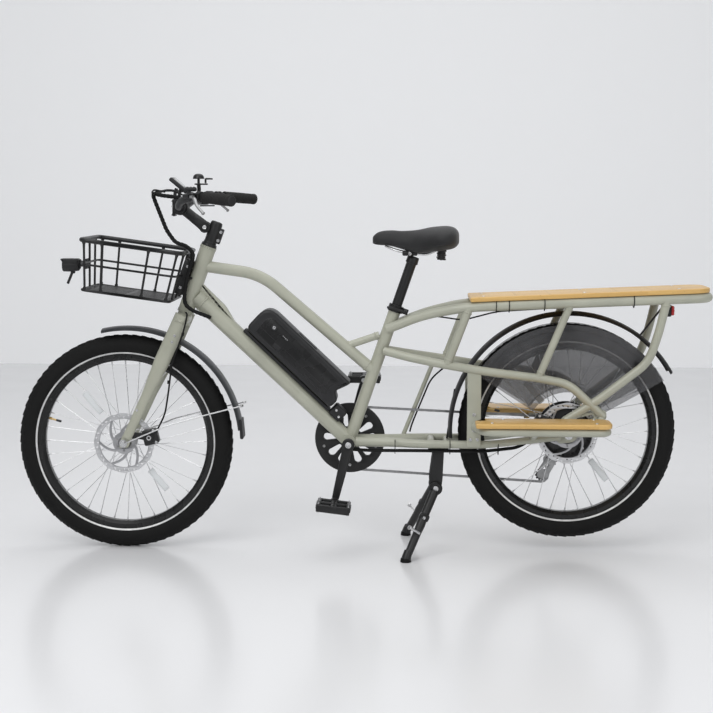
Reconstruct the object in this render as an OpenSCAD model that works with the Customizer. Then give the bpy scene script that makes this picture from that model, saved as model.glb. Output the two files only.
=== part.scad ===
// Longtail cargo bicycle with a hub motor, standing on its two-leg centre stand.
// +Z is up, the front of the bicycle points to -X and its left side to -Y. Millimetres.
// Places are written with X counted from the front axle, and every node is moved by centre_x at the end,
// so that the origin lies under the middle of the whole bicycle.

/* [Wheels] */
// Outer radius of both tyres
tyre_r = 318.5; // [316:0.5:320]
// Radius of the tyre's round section
tyre_section_r = 32; // [30:0.5:32]
// Radius of the rim's inner edge, where the spokes end
rim_inner_r = 241; // [238:1:244]
// Distance between the two axles
wheelbase = 1302.5; // [1295:0.5:1310]
// Height of the rear wheel above the floor, on the stand
rear_lift = 40; // [38:0.5:42]
// Radius of both brake discs
rotor_r = 90; // [80:1:90]
// Spokes in each wheel
spoke_count = 36; // [28:4:36]

/* [Steering] */
// Backward lean of the steering axis from upright
steer_lean = 20; // [19:0.5:21]
// Half width of the handlebar over the grips
bar_half_w = 302; // [295:1:310]

/* [Drive] */
// Length of each crank arm, centre to centre
crank_len = 175; // [165:1:175]
// Angle of the left crank below the horizontal, towards the front
crank_angle = 76.7; // [60:0.1:90]
// Radius of the chainring's guard discs
guard_r = 105; // [100:1:106]
// Radius of the chainring under the chain
ring_r = 90; // [86:1:90]

/* [Load deck] */
// Length of the bamboo deck board
deck_len = 690; // [680:1:692]
// Half width of the deck board
deck_half_w = 100; // [95:1:104]
// Thickness of the bamboo boards
board_t = 14; // [12:1:15]
// Length of each footboard
footboard_len = 385; // [370:1:390]
// Width of each footboard
footboard_w = 112; // [100:1:116]

/* [Stand] */
// Half distance between the two feet
foot_half_track = 169; // [160:1:172]
// Place of the feet behind the front axle
foot_x = 832; // [828:1:836]

/* [Hidden] */
$fn = 48;

loop_end_x = 1712;
centre_x = -(loop_end_x - tyre_r) / 2;
front_c = [0, 0, tyre_r];
rear_c = [wheelbase, 0, tyre_r + rear_lift];
bb_c = [664, 0, 324];
crown_c = [175, 0, 690];
seat_lean = 18.97;
deck_front = [1014, 0, 743];
deck_rise = 2.46;
stand_pivot = [920, 0, 190];
ring_y = 52;
cog_y = 64;
cog_r = 25;
pulley_r = 17;
chain_half = 3.6;
tension_c = [1238, 0, 214];
guide_c = [1268, 0, 258];
sage = [0.62, 0.64, 0.56];
black = [0.07, 0.07, 0.075];
dark = [0.16, 0.16, 0.17];
silver = [0.75, 0.76, 0.77];
bamboo = [0.85, 0.67, 0.42];

// ---- helpers -------------------------------------------------------------------------------------------

function unit(v) = v / norm(v);
function mirrored(p) = [p[0], -p[1], p[2]];
// A corner rounded by a curve that leaves and joins the straight stretches b before and after it
function corner(a, p, c, b, n) = let (u = p + unit(a - p) * b, w = p + unit(c - p) * b)
  [for (k = [0:n]) let (t = k / n) (1 - t) * (1 - t) * u + 2 * t * (1 - t) * p + t * t * w];
function softened(p, b, n) = concat([p[0]], [for (i = [1:1:len(p) - 2]) each corner(p[i - 1], p[i], p[i + 1], b, n)],
  [p[len(p) - 1]]);
function headings(p) = let (n = len(p)) [for (i = [0:n - 1]) unit(p[min(i + 1, n - 1)] - p[max(i - 1, 0)])];
// The direction that starts each ring, carried along the path so that the tube doesn't twist
function carried(d, i, s) = i >= len(d) ? [] : let (q = unit(s - (s * d[i]) * d[i])) concat([q], carried(d, i + 1, q));
function arc_at(c, r, a0, a1, n) = [for (k = [0:n]) let (a = a0 + (a1 - a0) * k / n) c + r * [cos(a), 0, sin(a)]];

// A bent tube along hand-set points: taper is the end radius over the start radius, flat the width in ref
module pipe(points, r, bend = 40, steps = 4, sides = 12, ref = [0, 1, 0], taper = 1, flat = 1) {
  p = softened(points, bend, steps);
  n = len(p);
  d = headings(p);
  s = carried(d, 0, ref);
  rings = [for (i = [0:n - 1]) let (q = cross(d[i], s[i]), k = r * (1 + (taper - 1) * i / (n - 1)))
    for (j = [0:sides - 1]) let (a = 360 * (j + 0.5) / sides) p[i] + k * (flat * cos(a) * s[i] + sin(a) * q)];
  sheath = [for (i = [0:n - 2]) for (j = [0:sides - 1]) let (a = i * sides + j, b = i * sides + (j + 1) % sides)
    each [[a, a + sides, b + sides], [a, b + sides, b]]];
  polyhedron(rings, concat([[for (j = [0:sides - 1]) j]], sheath,
    [[for (j = [sides - 1:-1:0]) (n - 1) * sides + j]]), convexity = 8);
}
// A straight bar between two points
module rod(a, b, r, r2 = undef) {
  d = b - a;
  translate(a) rotate([0, acos(d[2] / norm(d)), atan2(d[1], d[0])])
    cylinder(h = norm(d), r1 = r, r2 = is_undef(r2) ? r : r2);
}
// A disc or drum on a sideways axis, from y0 to y1
module drum(c, r, y0, y1) translate([c[0], y1, c[2]]) rotate([90, 0, 0]) cylinder(h = y1 - y0, r = r);
// A profile of [radius, y] points turned round a sideways axis
module turned(c) translate(c) rotate([-90, 0, 0]) rotate_extrude() children();
// A flat outline in X and Z, given its thickness from y0 to y1
module plate(y0, y1) translate([0, y1, 0]) rotate([90, 0, 0]) linear_extrude(y1 - y0) children();
module both_sides() { children(); mirror([0, 1, 0]) children(); }
module on_steering() translate(crown_c) rotate([0, steer_lean, 0]) children();
module on_seat_tube() translate(bb_c) rotate([0, seat_lean, 0]) children();
module on_deck() translate(deck_front) rotate([0, -deck_rise, 0]) children();
module place() translate([centre_x, 0, 0]) children();
// The outline that joins circles, for a flat bracket
module blob(list) for (i = [0:len(list) - 2]) hull() for (k = [i, i + 1])
  translate([list[k][0], list[k][1]]) circle(r = list[k][2]);

// ---- frame ---------------------------------------------------------------------------------------------

head_low = 22;
head_high = 212;
steerer_r = 14.3;
cup_bore_r = 14.35;

module head_tube() color(sage) on_steering() {
  difference() {
    translate([0, 0, head_low]) cylinder(h = head_high - head_low, r = 23.5);
    translate([0, 0, head_low - 1]) cylinder(h = head_high - head_low + 2, r = 18);
  }
  for (z = [head_low - 9, head_high]) difference() {
    translate([0, 0, z]) cylinder(h = 9, r = 24.5);
    translate([0, 0, z - 1]) cylinder(h = 11, r = cup_bore_r);
  }
}

module top_tube() color(sage) difference() {
  union() {
    pipe([[226, 0, 841], [404, 0, 816], [735, 0, 533]], 17, bend = 60, sides = 14);
    rod([650, 0, 604], [757, 0, 641], 11);
  }
  on_steering() cylinder(h = 300, r = 18);
  post_room();
}

module down_tube() color(sage) difference() {
  union() {
    rod([198, 0, 764], [655, 0, 332], 26, 22);
    plate(-11, 11) polygon([[222, 800], [300, 715], [345, 640], [215, 740]]);
  }
  on_steering() cylinder(h = 300, r = 18);
}

post_bore_r = 15.05;
seat_top = 424;

// The space inside the seat tube that the saddle's post slides in
module post_room() on_seat_tube() translate([0, 0, 185]) cylinder(h = 500, r = 16.5);

module seat_tube() color(sage) {
  on_seat_tube() difference() {
    cylinder(h = seat_top, r = 18);
    translate([0, 0, 190]) cylinder(h = seat_top, r = post_bore_r);
    rotate([90, 0, 0]) cylinder(h = 60, r = 16, center = true);
  }
  difference() {
    drum(bb_c, 21, -36, 36);
    drum(bb_c, 8.55, -40, 40);
  }
}

dropout_in = 70;
dropout_out = 76;

module dropout_outline() difference() {
  union() {
    blob([[wheelbase - 14, 400, 14], [wheelbase, rear_c[2], 21], [1398, 418, 14]]);
    blob([[wheelbase - 14, 400, 14], [1398, 418, 14]]);
    blob([[wheelbase, rear_c[2], 21], [1272, 350, 14]]);
  }
  translate([wheelbase, rear_c[2]]) circle(r = 7.2);
}

module chainstays() color(sage) {
  stay = [[672, 24, 325], [778, 27, 325], [880, 60, 325], [1060, 67, 325], [1280, 77, 352]];
  difference() {
    union() {
      pipe(stay, 14.5, bend = 45, taper = 0.72);
      pipe([for (q = stay) mirrored(q)], 14.5, bend = 45, taper = 0.72);
    }
    drum(bb_c, 20, -60, 60);
  }
  both_sides() plate(dropout_in, dropout_out) dropout_outline();
  rod([905, -58, 325], [905, 58, 325], 11);
  rod([950, -60, 325], [950, 60, 325], 8);
}

deck_loop_x = loop_end_x - 13.72;
rail_half = [[768, -19, 655], [880, -42, 702], [1000, -84, 728], [1110, -90, 733]];

module upper_rails() color(sage) {
  rail = concat(rail_half, [[deck_loop_x, -88, 758.4], [deck_loop_x, 88, 758.4]],
    [for (i = [3:-1:0]) mirrored(rail_half[i])]);
  difference() {
    pipe(rail, 14, bend = 48, steps = 5, sides = 12);
    post_room();
  }
  for (x = [1060, 1330, 1585]) let (z = deck_front[2] + (x - deck_front[0]) * tan(deck_rise) - 10)
    rod([x, -88, z], [x, 88, z], 8);
}

module mid_rails() color(sage) {
  rail = [[760, -20, 596], [835, -56, 580], [940, -84, 562], [1060, -88, 543], [1210, -88, 525], [1300, -86, 508],
    [1402, -77, 412]];
  difference() {
    union() {
      pipe(rail, 12.5, bend = 34);
      pipe([for (q = rail) mirrored(q)], 12.5, bend = 34);
    }
    post_room();
  }
}

module rack_struts() color(sage) {
  stay = [[1574, -89, 756], [1552, -88, 651], [1526, -86, 572], [1385, -80, 460], [1292, -77, 400]];
  both_sides() {
    pipe(stay, 12.5, bend = 36);
    rod([1012, -84, 728], [948, -85, 560], 12.5);
    rod([1303, -88, 742], [1213, -88, 526], 11);
  }
  rod([916, 84, 560], [822, 57.5, 328], 6.5);
}

plate_x0 = 1008;
plate_x1 = 1048;
foot_z = 395;

module footboard_frames() color(sage) both_sides() {
  translate([plate_x0, -92, 322]) cube([plate_x1 - plate_x0, 13, 226]);
  pipe([[1030, -88, foot_z - 12], [1052, -198, foot_z - 12], [1402, -198, foot_z - 12], [1404, -106, foot_z - 12],
    [1394, -78, 408]], 11, bend = 32);
  rod([1200, -198, foot_z - 12], [1200, -70, 346], 9);
}

// ---- boards, guards, lights ----------------------------------------------------------------------------

module board_outline(l, w, r) {
  translate([0, -w / 2]) square([l - r, w]);
  translate([0, r - w / 2]) square([l, w - 2 * r]);
  for (s = [-1, 1]) translate([l - r, s * (w / 2 - r)]) circle(r = r);
}

module deck_board() color(bamboo) on_deck() translate([0, 0, 0.2])
  linear_extrude(board_t) board_outline(deck_len, 2 * deck_half_w, 55);

module footboards() color(bamboo) both_sides() translate([1029, -157, foot_z])
  linear_extrude(board_t) difference() {
    board_outline(footboard_len, footboard_w, 30);
    translate([-1, footboard_w / 2 - 42]) square([26, 60]);
  }

fender_t = 2.5;

// An arched mudguard strip round an axle, from angle a0 over a1 - a0 degrees
module fender_strip(c, r, half_w, a0, a1) {
  arch = half_w + 6;
  translate(c) rotate([90, -a0, 0]) rotate_extrude(angle = a1 - a0, $fn = 96) translate([r - arch, 0]) intersection() {
    difference() {
      circle(r = arch);
      circle(r = arch - fender_t);
    }
    translate([0, -half_w]) square([2 * arch, 2 * half_w]);
  }
}

module rear_fender() color(black) {
  fender_strip([1306, 0, 362], 352, 38, 30, 184);
  rod([1585, 0, 735], [1515, 0, 643], 3);
  rod([1060, 0, 722], [1062, 0, 617], 3);
  rod([975, 0, 480], [952, 0, 325], 3);
}

guard_y = 46;

module skirt_guards() color(dark, 0.6) both_sides() {
  translate([wheelbase, guard_y + 2, rear_c[2]]) rotate([90, -29.5, 0])
    rotate_extrude(angle = 118, $fn = 96) translate([120, 0]) square([197, 2]);
  for (p = [[1120, 538], [1260, 520], [1500, 562]])
    rod([p[0], guard_y + 2, p[1]], [p[0], guard_y + 32, p[1]], 4);
}

module tail_light() {
  color(black) {
    translate([1584, -32, 699]) cube([15, 64, 34]);
    translate([1580, -10, 722]) cube([10, 20, 40]);
  }
  color("red") translate([1599, -29, 702]) cube([9, 58, 28]);
}

// ---- battery -------------------------------------------------------------------------------------------

pack_angle = 43.4;
pack_origin = [357, 0, 656];

// The pack lies along the top of the down tube: local X runs down the tube and local Z away from it
module on_pack() translate(pack_origin) rotate([0, pack_angle, 0]) children();

module battery_cradle() color(black) on_pack() {
  translate([0, -19, -9]) cube([345, 38, 12]);
  translate([346, -24, -12]) cube([44, 48, 40]);
}

module pack_outline() difference() {
  union() {
    translate([0, 20]) square([342, 62]);
    translate([20, 4]) square([322, 98]);
    for (p = [[22, 24, 20], [40, 62, 40], [322, 82, 20], [322, 24, 20]]) translate([p[0], p[1]]) circle(r = p[2]);
  }
  translate([342, 100]) rotate(-118) square([60, 60]);
}

module battery() color(dark) on_pack() difference() {
  plate(-43, 43) pack_outline();
  translate([60, -44, 66]) rotate([90, 0, 0]) cylinder(h = 6, r = 9, center = true);
}

// ---- saddle --------------------------------------------------------------------------------------------

module seat_clamp() color(black) on_seat_tube() difference() {
  union() {
    translate([0, 0, seat_top - 18]) cylinder(h = 20, r = 22);
    translate([18, -8, seat_top - 16]) cube([20, 16, 16]);
  }
  translate([0, 0, seat_top - 30]) cylinder(h = 30, r = 18);
  translate([0, 0, seat_top - 30]) cylinder(h = 40, r = post_bore_r);
  translate([17, -1, seat_top - 20]) cube([24, 2, 30]);
  translate([30, 0, seat_top - 8]) rotate([90, 0, 0]) cylinder(h = 40, r = 3.05, center = true);
}

module seat_clamp_lever() color(dark) on_seat_tube() translate([30, 0, seat_top - 8]) {
  rotate([90, 0, 0]) translate([0, 0, -15]) cylinder(h = 45, r = 3);
  rotate([90, 0, 0]) translate([0, 0, 9]) cylinder(h = 21, r = 6);
  rotate([90, 0, 0]) translate([0, 0, -15]) cylinder(h = 6, r = 6);
  translate([-55, -30, -4]) cube([55, 6, 8]);
}

post_top = 566;

// The post with its head clamp, the saddle's two rails and its pair of elastomer springs
module seatpost() color(black) {
  on_seat_tube() translate([0, 0, 250]) cylinder(h = post_top - 250, r = 15);
  on_seat_tube() translate([0, 0, post_top - 1]) cylinder(h = 12, r = 19);
  saddle_rails();
}

module saddle_rails() {
  color(silver) both_sides() pipe([[772, -6, 893], [800, -20, 886], [838, -23, 880], [890, -23, 876], [934, -34, 900]], 3.6,
    bend = 10, steps = 3, sides = 8);
  both_sides() rod([930, -46, 862], [934, -46, 893], 13);
  color(black) translate([818, -30, 872]) cube([44, 60, 15]);
  color(black) rod([930, -58, 866], [930, 58, 866], 5);
}

module saddle() color(black) hull() {
  for (q = [[760, 0, 922, 21], [800, 0, 916, 29], [925, 74, 920, 33], [925, -74, 920, 33], [948, 0, 920, 35]])
    translate([q[0], q[1], q[2]]) sphere(r = q[3], $fn = 24);
}

// ---- basket and lights ---------------------------------------------------------------------------------

basket_tilt = 7.7;
basket_l = 255;
basket_h = 143;
basket_half_top = 134;
basket_half_low = 118;

module on_basket() translate([-103, 0, 776]) rotate([0, basket_tilt, 0]) children();
// A point on the basket's side wall: u from front to back, v from the floor to the rim
function wall(u, v, side) = [u * basket_l + v * (-17 + 38 * u), side * (basket_half_low + v *
  (basket_half_top - basket_half_low)), v * basket_h];
function face(w, v, u) = let (p = wall(u, v, 1)) [p[0], w * p[1], p[2]];

module hoop(v, r) {
  c = [wall(0, v, -1), wall(1, v, -1), wall(1, v, 1), wall(0, v, 1)];
  for (i = [0:3]) {
    rod(c[i], c[(i + 1) % 4], r);
    translate(c[i]) sphere(r = r * 1.01);
  }
}

module basket() color(black) {
  on_basket() {
    hoop(1, 6.5);
    hoop(0.52, 2.6);
    hoop(0, 4);
    for (s = [-1, 1], u = [0, 0.24, 0.5, 0.76, 1]) rod(wall(u, 0, s), wall(u, 1, s), 3);
    for (w = [-0.5, 0, 0.5], u = [0, 1]) rod(face(w, 0, u), face(w, 1, u), 3);
    difference() {
      translate([0, -basket_half_low, -2]) cube([basket_l, 2 * basket_half_low, 4]);
      for (y = [-100:20:100]) translate([20, y - 4, -4]) cube([basket_l - 40, 8, 8]);
    }
  }
  difference() {
    on_steering() translate([-40, -24, 62]) cube([30, 48, 112]);
    on_steering() cylinder(h = 300, r = 23.5);
    on_basket() translate([-50, -200, 3]) cube([basket_l + 48, 400, 300]);
  }
}

module headlight() {
  color(black) {
    rod([-178, 0, 841], [-128, 0, 841], 17, 20);
    translate([-185, -19, 855]) cube([50, 38, 4]);
    rod([-152, 0, 824], [-168, 0, 781], 4);
    rod([-130, 0, 845], [-112, 0, 845], 9);
    translate([-113, -30, 830]) cube([5, 60, 30]);
  }
  color("white") rod([-180, 0, 841], [-178, 0, 841], 14);
}

// ---- brakes --------------------------------------------------------------------------------------------

// A disc caliper that straddles the disc's outer edge at the given angle
module caliper(c, y, angle) translate([c[0], y, c[2]]) rotate([0, -angle, 0]) difference() {
  union() {
    translate([60, -20, -24]) cube([44, 32, 48]);
    rotate([90, 0, 0]) translate([78, 0, 18]) cylinder(h = 8, r = 15);
  }
  translate([0, -1.8, -40]) cube([97, 3.6, 80]);
}

front_disc_y = -42;
rear_disc_y = -49;

module rear_caliper() color(black) {
  caliper(rear_c, rear_disc_y, 158);
  plate(-73, -68) blob([[1222, 372, 9], [1262, 352, 10]]);
}

front_hose = [[186.8, -40, 705], [196, -70, 702], [186, -81, 655], [150, -80, 560], [140, -80, 480], [128, -76, 410],
  [96, -64, 352]];

module front_caliper() color(black) {
  caliper(front_c, front_disc_y, 14);
  plate(-62, -57) blob([[84, 340, 9], [30, 345, 8]]);
  pipe(front_hose, 2.6, bend = 18, steps = 3, sides = 8);
}

// ---- drive ---------------------------------------------------------------------------------------------

chain_front_r = ring_r + 4.6;
chain_rear_r = cog_r + 4.6;
chain_pulley_r = pulley_r + 4.6;
function bearing(a, b) = atan2(b[2] - a[2], b[0] - a[0]);
upper_run = bearing(bb_c, rear_c) - asin((chain_front_r - chain_rear_r) / norm(rear_c - bb_c)) + 90;
lower_run = bearing(bb_c, tension_c) + asin((chain_front_r - chain_pulley_r) / norm(tension_c - bb_c)) - 90;
cross_low = bearing(tension_c, guide_c) + asin(2 * chain_pulley_r / norm(guide_c - tension_c));
cross_high = bearing(guide_c, rear_c) - asin((chain_pulley_r + chain_rear_r) / norm(rear_c - guide_c));
function chain_y(x) = ring_y + (cog_y - ring_y) * min(1, max(0, (x - 760) / 440));
chain_flat = concat(
  arc_at(bb_c, chain_front_r, upper_run, lower_run + 360, 22),
  arc_at(tension_c, chain_pulley_r, lower_run, cross_low - 90, 5),
  arc_at(guide_c, chain_pulley_r, cross_low + 90, cross_high + 90, 4),
  arc_at(rear_c, chain_rear_r, cross_high - 90, upper_run, 10));
chain_path = [for (q = chain_flat) [q[0], chain_y(q[0]), q[2]]];

// A square-section endless band along the chain's path
module chain() color(silver) {
  n = len(chain_path);
  ring = [for (i = [0:n - 1]) let (p = chain_path[i], d = unit(chain_path[(i + 1) % n] - chain_path[(i + n - 1) % n]),
    o = unit(cross(d, [0, 1, 0]))) each [p + chain_half * (o + [0, 1, 0]), p + chain_half * (o - [0, 1, 0]),
    p - chain_half * (o + [0, 1, 0]), p - chain_half * (o - [0, 1, 0])]];
  polyhedron(ring, [for (i = [0:n - 1]) for (j = [0:3]) let (a = 4 * i + j, b = 4 * i + (j + 1) % 4,
    c = 4 * ((i + 1) % n) + j, e = 4 * ((i + 1) % n) + (j + 1) % 4) each [[a, b, e], [a, e, c]]], convexity = 6);
}

left_pedal = bb_c - crank_len * [cos(crank_angle), 0, sin(crank_angle)];
right_pedal = bb_c + crank_len * [cos(crank_angle), 0, sin(crank_angle)];

module crank_arm(end, y0, y1) difference() {
  union() {
    drum(bb_c, 19, y0, y1);
    drum(end, 14, y0, y1);
    rod([bb_c[0], (y0 + y1) / 2, bb_c[2]], [end[0], (y0 + y1) / 2, end[2]], 8.5, 7.6);
    plate(y0 + 2, y1 - 2) polygon([for (k = [0:3]) let (e = k < 2 ? bb_c : end, s = (k == 0 || k == 3) ? 1 : -1,
      w = k < 2 ? 16 : 11, n = unit([end[2] - bb_c[2], 0, bb_c[0] - end[0]])) [e[0] + s * w * n[0], e[2] + s * w * n[2]]]);
  }
  drum(end, 7.05, y0 - 1, y1 + 1);
}

module cranks() color(black) {
  drum(bb_c, 8.5, -72, 72);
  crank_arm(left_pedal, -87, -71);
  crank_arm(right_pedal, 71, 87);
}

petals = 5;

module guard_outline() difference() {
  circle(r = guard_r);
  circle(r = 9.5);
  for (k = [0:petals - 1], s = [-1, 1]) rotate(90 + 360 * k / petals + s * 15) petal();
}
module petal() {
  translate([40, 0]) circle(r = 6);
  translate([68, 0]) circle(r = 11);
  polygon([[40, -6], [67, -11], [67, 11], [40, 6]]);
}

module chainring() {
  color(black) for (y = [ring_y - 7, ring_y + 5]) translate([bb_c[0], y + 2, bb_c[2]]) rotate([90, 0, 0])
    linear_extrude(2) guard_outline();
  color(silver) turned(bb_c + [0, ring_y, 0]) translate([80, -1]) square([ring_r - 80, 2]);
  color(black) turned(bb_c + [0, ring_y, 0]) translate([80.5, -6]) square([4, 12]);
  color(black) turned(bb_c + [0, ring_y, 0]) translate([9.5, -6.5]) square([16, 25]);
}

// A platform pedal on its spindle; dir is 1 on the right side and -1 on the left
module pedal(c, dir, tilt) translate(c) rotate([0, tilt, 0]) {
  y0 = 92;
  y1 = 188;
  mirror([0, dir < 0 ? 1 : 0, 0]) {
    difference() {
      translate([-49, y0, -12]) cube([98, y1 - y0, 24]);
      for (s = [-1, 1], k = [0, 1]) translate([s * 29 - 15, y0 + 8 + k * 44, -20]) cube([30, 36, 40]);
      for (s = [-1, 1]) translate([s * 29 - 15, y0 - 1, -7]) cube([30, y1 - y0 + 2, 14]);
    }
    for (s = [-1, 1], y = [y0 + 4, y1 - 4], z = [-12, 12]) translate([s * 40, y, z])
      cylinder(h = 6, r = 2, center = true, $fn = 16);
    drum([0, 0, 0], 7, 71.5, y0 + 6);
    drum([0, 0, 0], 11, y0 - 3, y1 + 2);
  }
}

module pedal_left() color(black) pedal(left_pedal, -1, 6.9);
module pedal_right() color(black) pedal(right_pedal, 1, 0);

module pulley(c) difference() {
  union() {
    drum(c, pulley_r, cog_y - 2, cog_y + 2);
    drum(c, 8, cog_y - 4, cog_y + 4);
  }
  drum(c, 3.05, cog_y - 10, cog_y + 10);
}
module guide_pulley() color(black) pulley(guide_c);
module tension_pulley() color(black) pulley(tension_c);

module derailleur() color(silver) {
  for (y = [[cog_y - 7.5, cog_y - 5.5], [cog_y + 5.5, cog_y + 7.5]]) plate(y[0], y[1])
    blob([[guide_c[0], guide_c[2], 13], [tension_c[0], tension_c[2], 12]]);
  for (c = [guide_c, tension_c]) drum(c, 3, cog_y - 8, cog_y + 8);
  drum(guide_c, 12, cog_y + 7.5, cog_y + 18);
  plate(cog_y + 8, cog_y + 18) blob([[guide_c[0], guide_c[2], 11], [1292, 304, 12]]);
  drum([1292, 0, 304], 11, dropout_in, cog_y + 20);
  plate(dropout_in, dropout_out) difference() {
    blob([[1292, 304, 11], [1300, 334, 10]]);
    translate([wheelbase, rear_c[2]]) circle(r = 21);
  }
}

module freewheel() color(silver) difference() {
  union() {
    for (k = [0:5]) drum(rear_c, cog_r + (5 - k) * 6, cog_y - 1 - (5 - k) * 5, cog_y + 1 - (5 - k) * 5);
    drum(rear_c, 19, 37, cog_y + 1.5);
  }
  drum(rear_c, 12, 30, 80);
}

// ---- wheels --------------------------------------------------------------------------------------------

module tyre(c) turned(c) difference() {
  intersection() {
    translate([tyre_r - tyre_section_r, 0]) circle(r = tyre_section_r);
    translate([257, -40]) square([80, 80]);
  }
  translate([tyre_r - tyre_section_r - 1, 0]) circle(r = tyre_section_r - 4.5);
  translate([250, -10]) square([20, 20]);
  for (s = [-1, 1]) translate([250, s * 20 - 6]) square([12.05, 12]);
}

module rim(c) turned(c) difference() {
  polygon([[rim_inner_r, -9], [rim_inner_r + 9, -18], [262, -18], [262, -14.5], [rim_inner_r + 12, -14.5],
    [rim_inner_r + 12, 14.5], [262, 14.5], [262, 18], [rim_inner_r + 9, 18], [rim_inner_r, 9]]);
  polygon([[rim_inner_r + 3, -8], [rim_inner_r + 9, -13], [rim_inner_r + 9, 13], [rim_inner_r + 3, 8]]);
}

// Spokes leave both flanges turned forwards and back by turns, so that they cross
module spokes(c, flange_r, flange_y, lean) translate(c) for (k = [0:spoke_count - 1]) {
  side = k % 2 == 0 ? 1 : -1;
  turn = floor(k / 2) % 2 == 0 ? lean : -lean;
  a = 360 * k / spoke_count;
  rod([flange_r * cos(a - turn), side * (flange_y + (turn > 0 ? 1.2 : -1.2)), flange_r * sin(a - turn)],
    [(rim_inner_r + 1) * cos(a), side * 3, (rim_inner_r + 1) * sin(a)], 1, $fn = 16);
}

valve_angle = 164;

module valve(c) translate(c) rotate([0, -valve_angle, 0]) translate([rim_inner_r - 38, 0, 0]) rotate([0, 90, 0])
  cylinder(h = 50, r = 3.4);

module front_hub() color(silver) {
  difference() {
    union() {
      drum(front_c, 16, -44, 44);
      for (s = [-28, 28]) drum(front_c, 29, s - 2, s + 2);
      drum(front_c, 22, -40, -28);
    }
    drum(front_c, 5.05, -60, 60);
  }
  spokes(front_c, 25, 28, 48);
}
module front_axle() color(black) {
  drum(front_c, 5, -62, 62);
  for (y = [-67, 57]) drum(front_c, 10, y, y + 10);
}
module front_rim() color(dark) rim(front_c);
module front_tyre() color(black) { tyre(front_c); valve(front_c); }

module rotor(c, y, hub_r) translate([c[0], y + 1, c[2]]) rotate([90, 0, 0]) linear_extrude(2) {
  difference() {
    circle(r = rotor_r);
    circle(r = rotor_r - 15);
    for (k = [0:35]) rotate(10 * k) translate([rotor_r - 7.5, 0]) circle(r = 2.6);
  }
  difference() {
    circle(r = 30);
    circle(r = hub_r);
  }
  for (k = [0:5]) rotate(60 * k) translate([26, -3]) square([rotor_r - 40, 6]);
}
module front_rotor() color(silver) rotor(front_c, front_disc_y, 17);

motor_r = 84;

module hub_motor() {
  color(black) difference() {
    union() {
      drum(rear_c, motor_r, -30, 30);
      drum(rear_c, 76, -35, 35);
      drum(rear_c, 30, -48, -35);
      drum(rear_c, 11.5, 35, cog_y + 3);
    }
    drum(rear_c, motor_r - 5, -26, 26);
    drum(rear_c, 7.05, -60, 80);
  }
  color(silver) spokes(rear_c, motor_r - 1, 26, 16);
}
module rear_axle() color(silver) {
  drum(rear_c, 7, -92, 92);
  for (y = [-88, 77]) drum(rear_c, 13, y, y + 11);
  for (y = [-69.5, 68]) drum(rear_c, 10.5, y, y + 1.8);
  drum(rear_c, 60, -20, 20);
}
module rear_rim() color(dark) rim(rear_c);
module rear_tyre() color(black) { tyre(rear_c); valve(rear_c); }
module rear_rotor() color(silver) rotor(rear_c, rear_disc_y, 31);

// ---- fork, stem and handlebar --------------------------------------------------------------------------

leg_y = 62;
steerer_top = 288;

module fork() color(sage) {
  on_steering() {
    translate([0, 0, -6]) cylinder(h = steerer_top + 6, r = steerer_r);
    hull() {
      for (s = [-1, 1]) translate([0, s * 56, -24]) cylinder(h = 26, r = 20);
      translate([0, 0, -24]) cylinder(h = 36, r = 25);
    }
  }
  both_sides() {
    pipe([[177, -leg_y, 692], [95, -leg_y, 512], [12, -leg_y + 1, 336]], 24, bend = 60, sides = 16, taper = 0.6,
      flat = 0.52);
    difference() {
      plate(-57, -51) blob([[0, tyre_r, 15], [16, 346, 13]]);
      drum(front_c, 5.3, -70, 70);
    }
  }
}

fender_c = [10, 0, 322];

module front_fender() {
  color(dark) fender_strip(fender_c, 342, 40, 6, 103);
  color(dark) translate([150, -12, 628]) cube([22, 24, 36]);
  color(silver) both_sides() pipe([[348, -40, 425], [238, -60, 404], [132, -72, 375], [14, -74, 326], [0, -66, 318]], 2,
    bend = 14, steps = 2, sides = 8);
}

stem_bore_r = 14.35;

module stem() color(black) {
  on_steering() difference() {
    union() {
      translate([0, 0, 222]) cylinder(h = 14, r1 = 23.5, r2 = 18);
      translate([0, 0, 228]) cylinder(h = 68, r = 18);
      translate([8, -9, 236]) cube([20, 18, 46]);
      rotate([90, 0, 0]) translate([-28, 270, -11]) cylinder(h = 22, r = 15);
      translate([-30, -11, 262]) cube([30, 22, 18]);
    }
    translate([0, 0, 200]) cylinder(h = 90, r = stem_bore_r);
    translate([15, -1, 230]) cube([16, 2, 70]);
    translate([-28, 0, 270]) rotate([90, 0, 0]) cylinder(h = 60, r = 4.05, center = true);
  }
}

bar_centre = [170, 0, 1010];
bar_clamp_r = 15.9;
bar_r = 11.1;

module stem_arm() color(black) {
  pin = crown_c + 270 * [sin(steer_lean), 0, cos(steer_lean)] - 28 * [cos(steer_lean), 0, -sin(steer_lean)];
  difference() {
    union() {
      both_sides() plate(-18, -12) blob([[pin[0], pin[2], 14.5], [pin[0] - 14, pin[2] + 12, 12]]);
      rod([pin[0] - 25, 0, pin[2] + 21], bar_centre + [14, 0, -8], 16, 14);
      plate(-18, 18) difference() {
        translate([bar_centre[0], bar_centre[2]]) circle(r = 22);
        translate([bar_centre[0], bar_centre[2]]) circle(r = bar_clamp_r);
      }
      translate([bar_centre[0] - 24, -18, bar_centre[2] - 26]) cube([9, 36, 52]);
    }
    drum(bar_centre, bar_clamp_r, -30, 30);
    drum(pin, 16, -11.5, 11.5);
  }
  drum(pin, 4, -19, 19);
  for (y = [-23, 17]) drum(pin, 9, y, y + 6);
}

bar_line = [bar_centre, [172, -70, 1012], [192, -128, 1034], [258, -205, 1042], [352, -bar_half_w + 2, 1033]];

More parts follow.
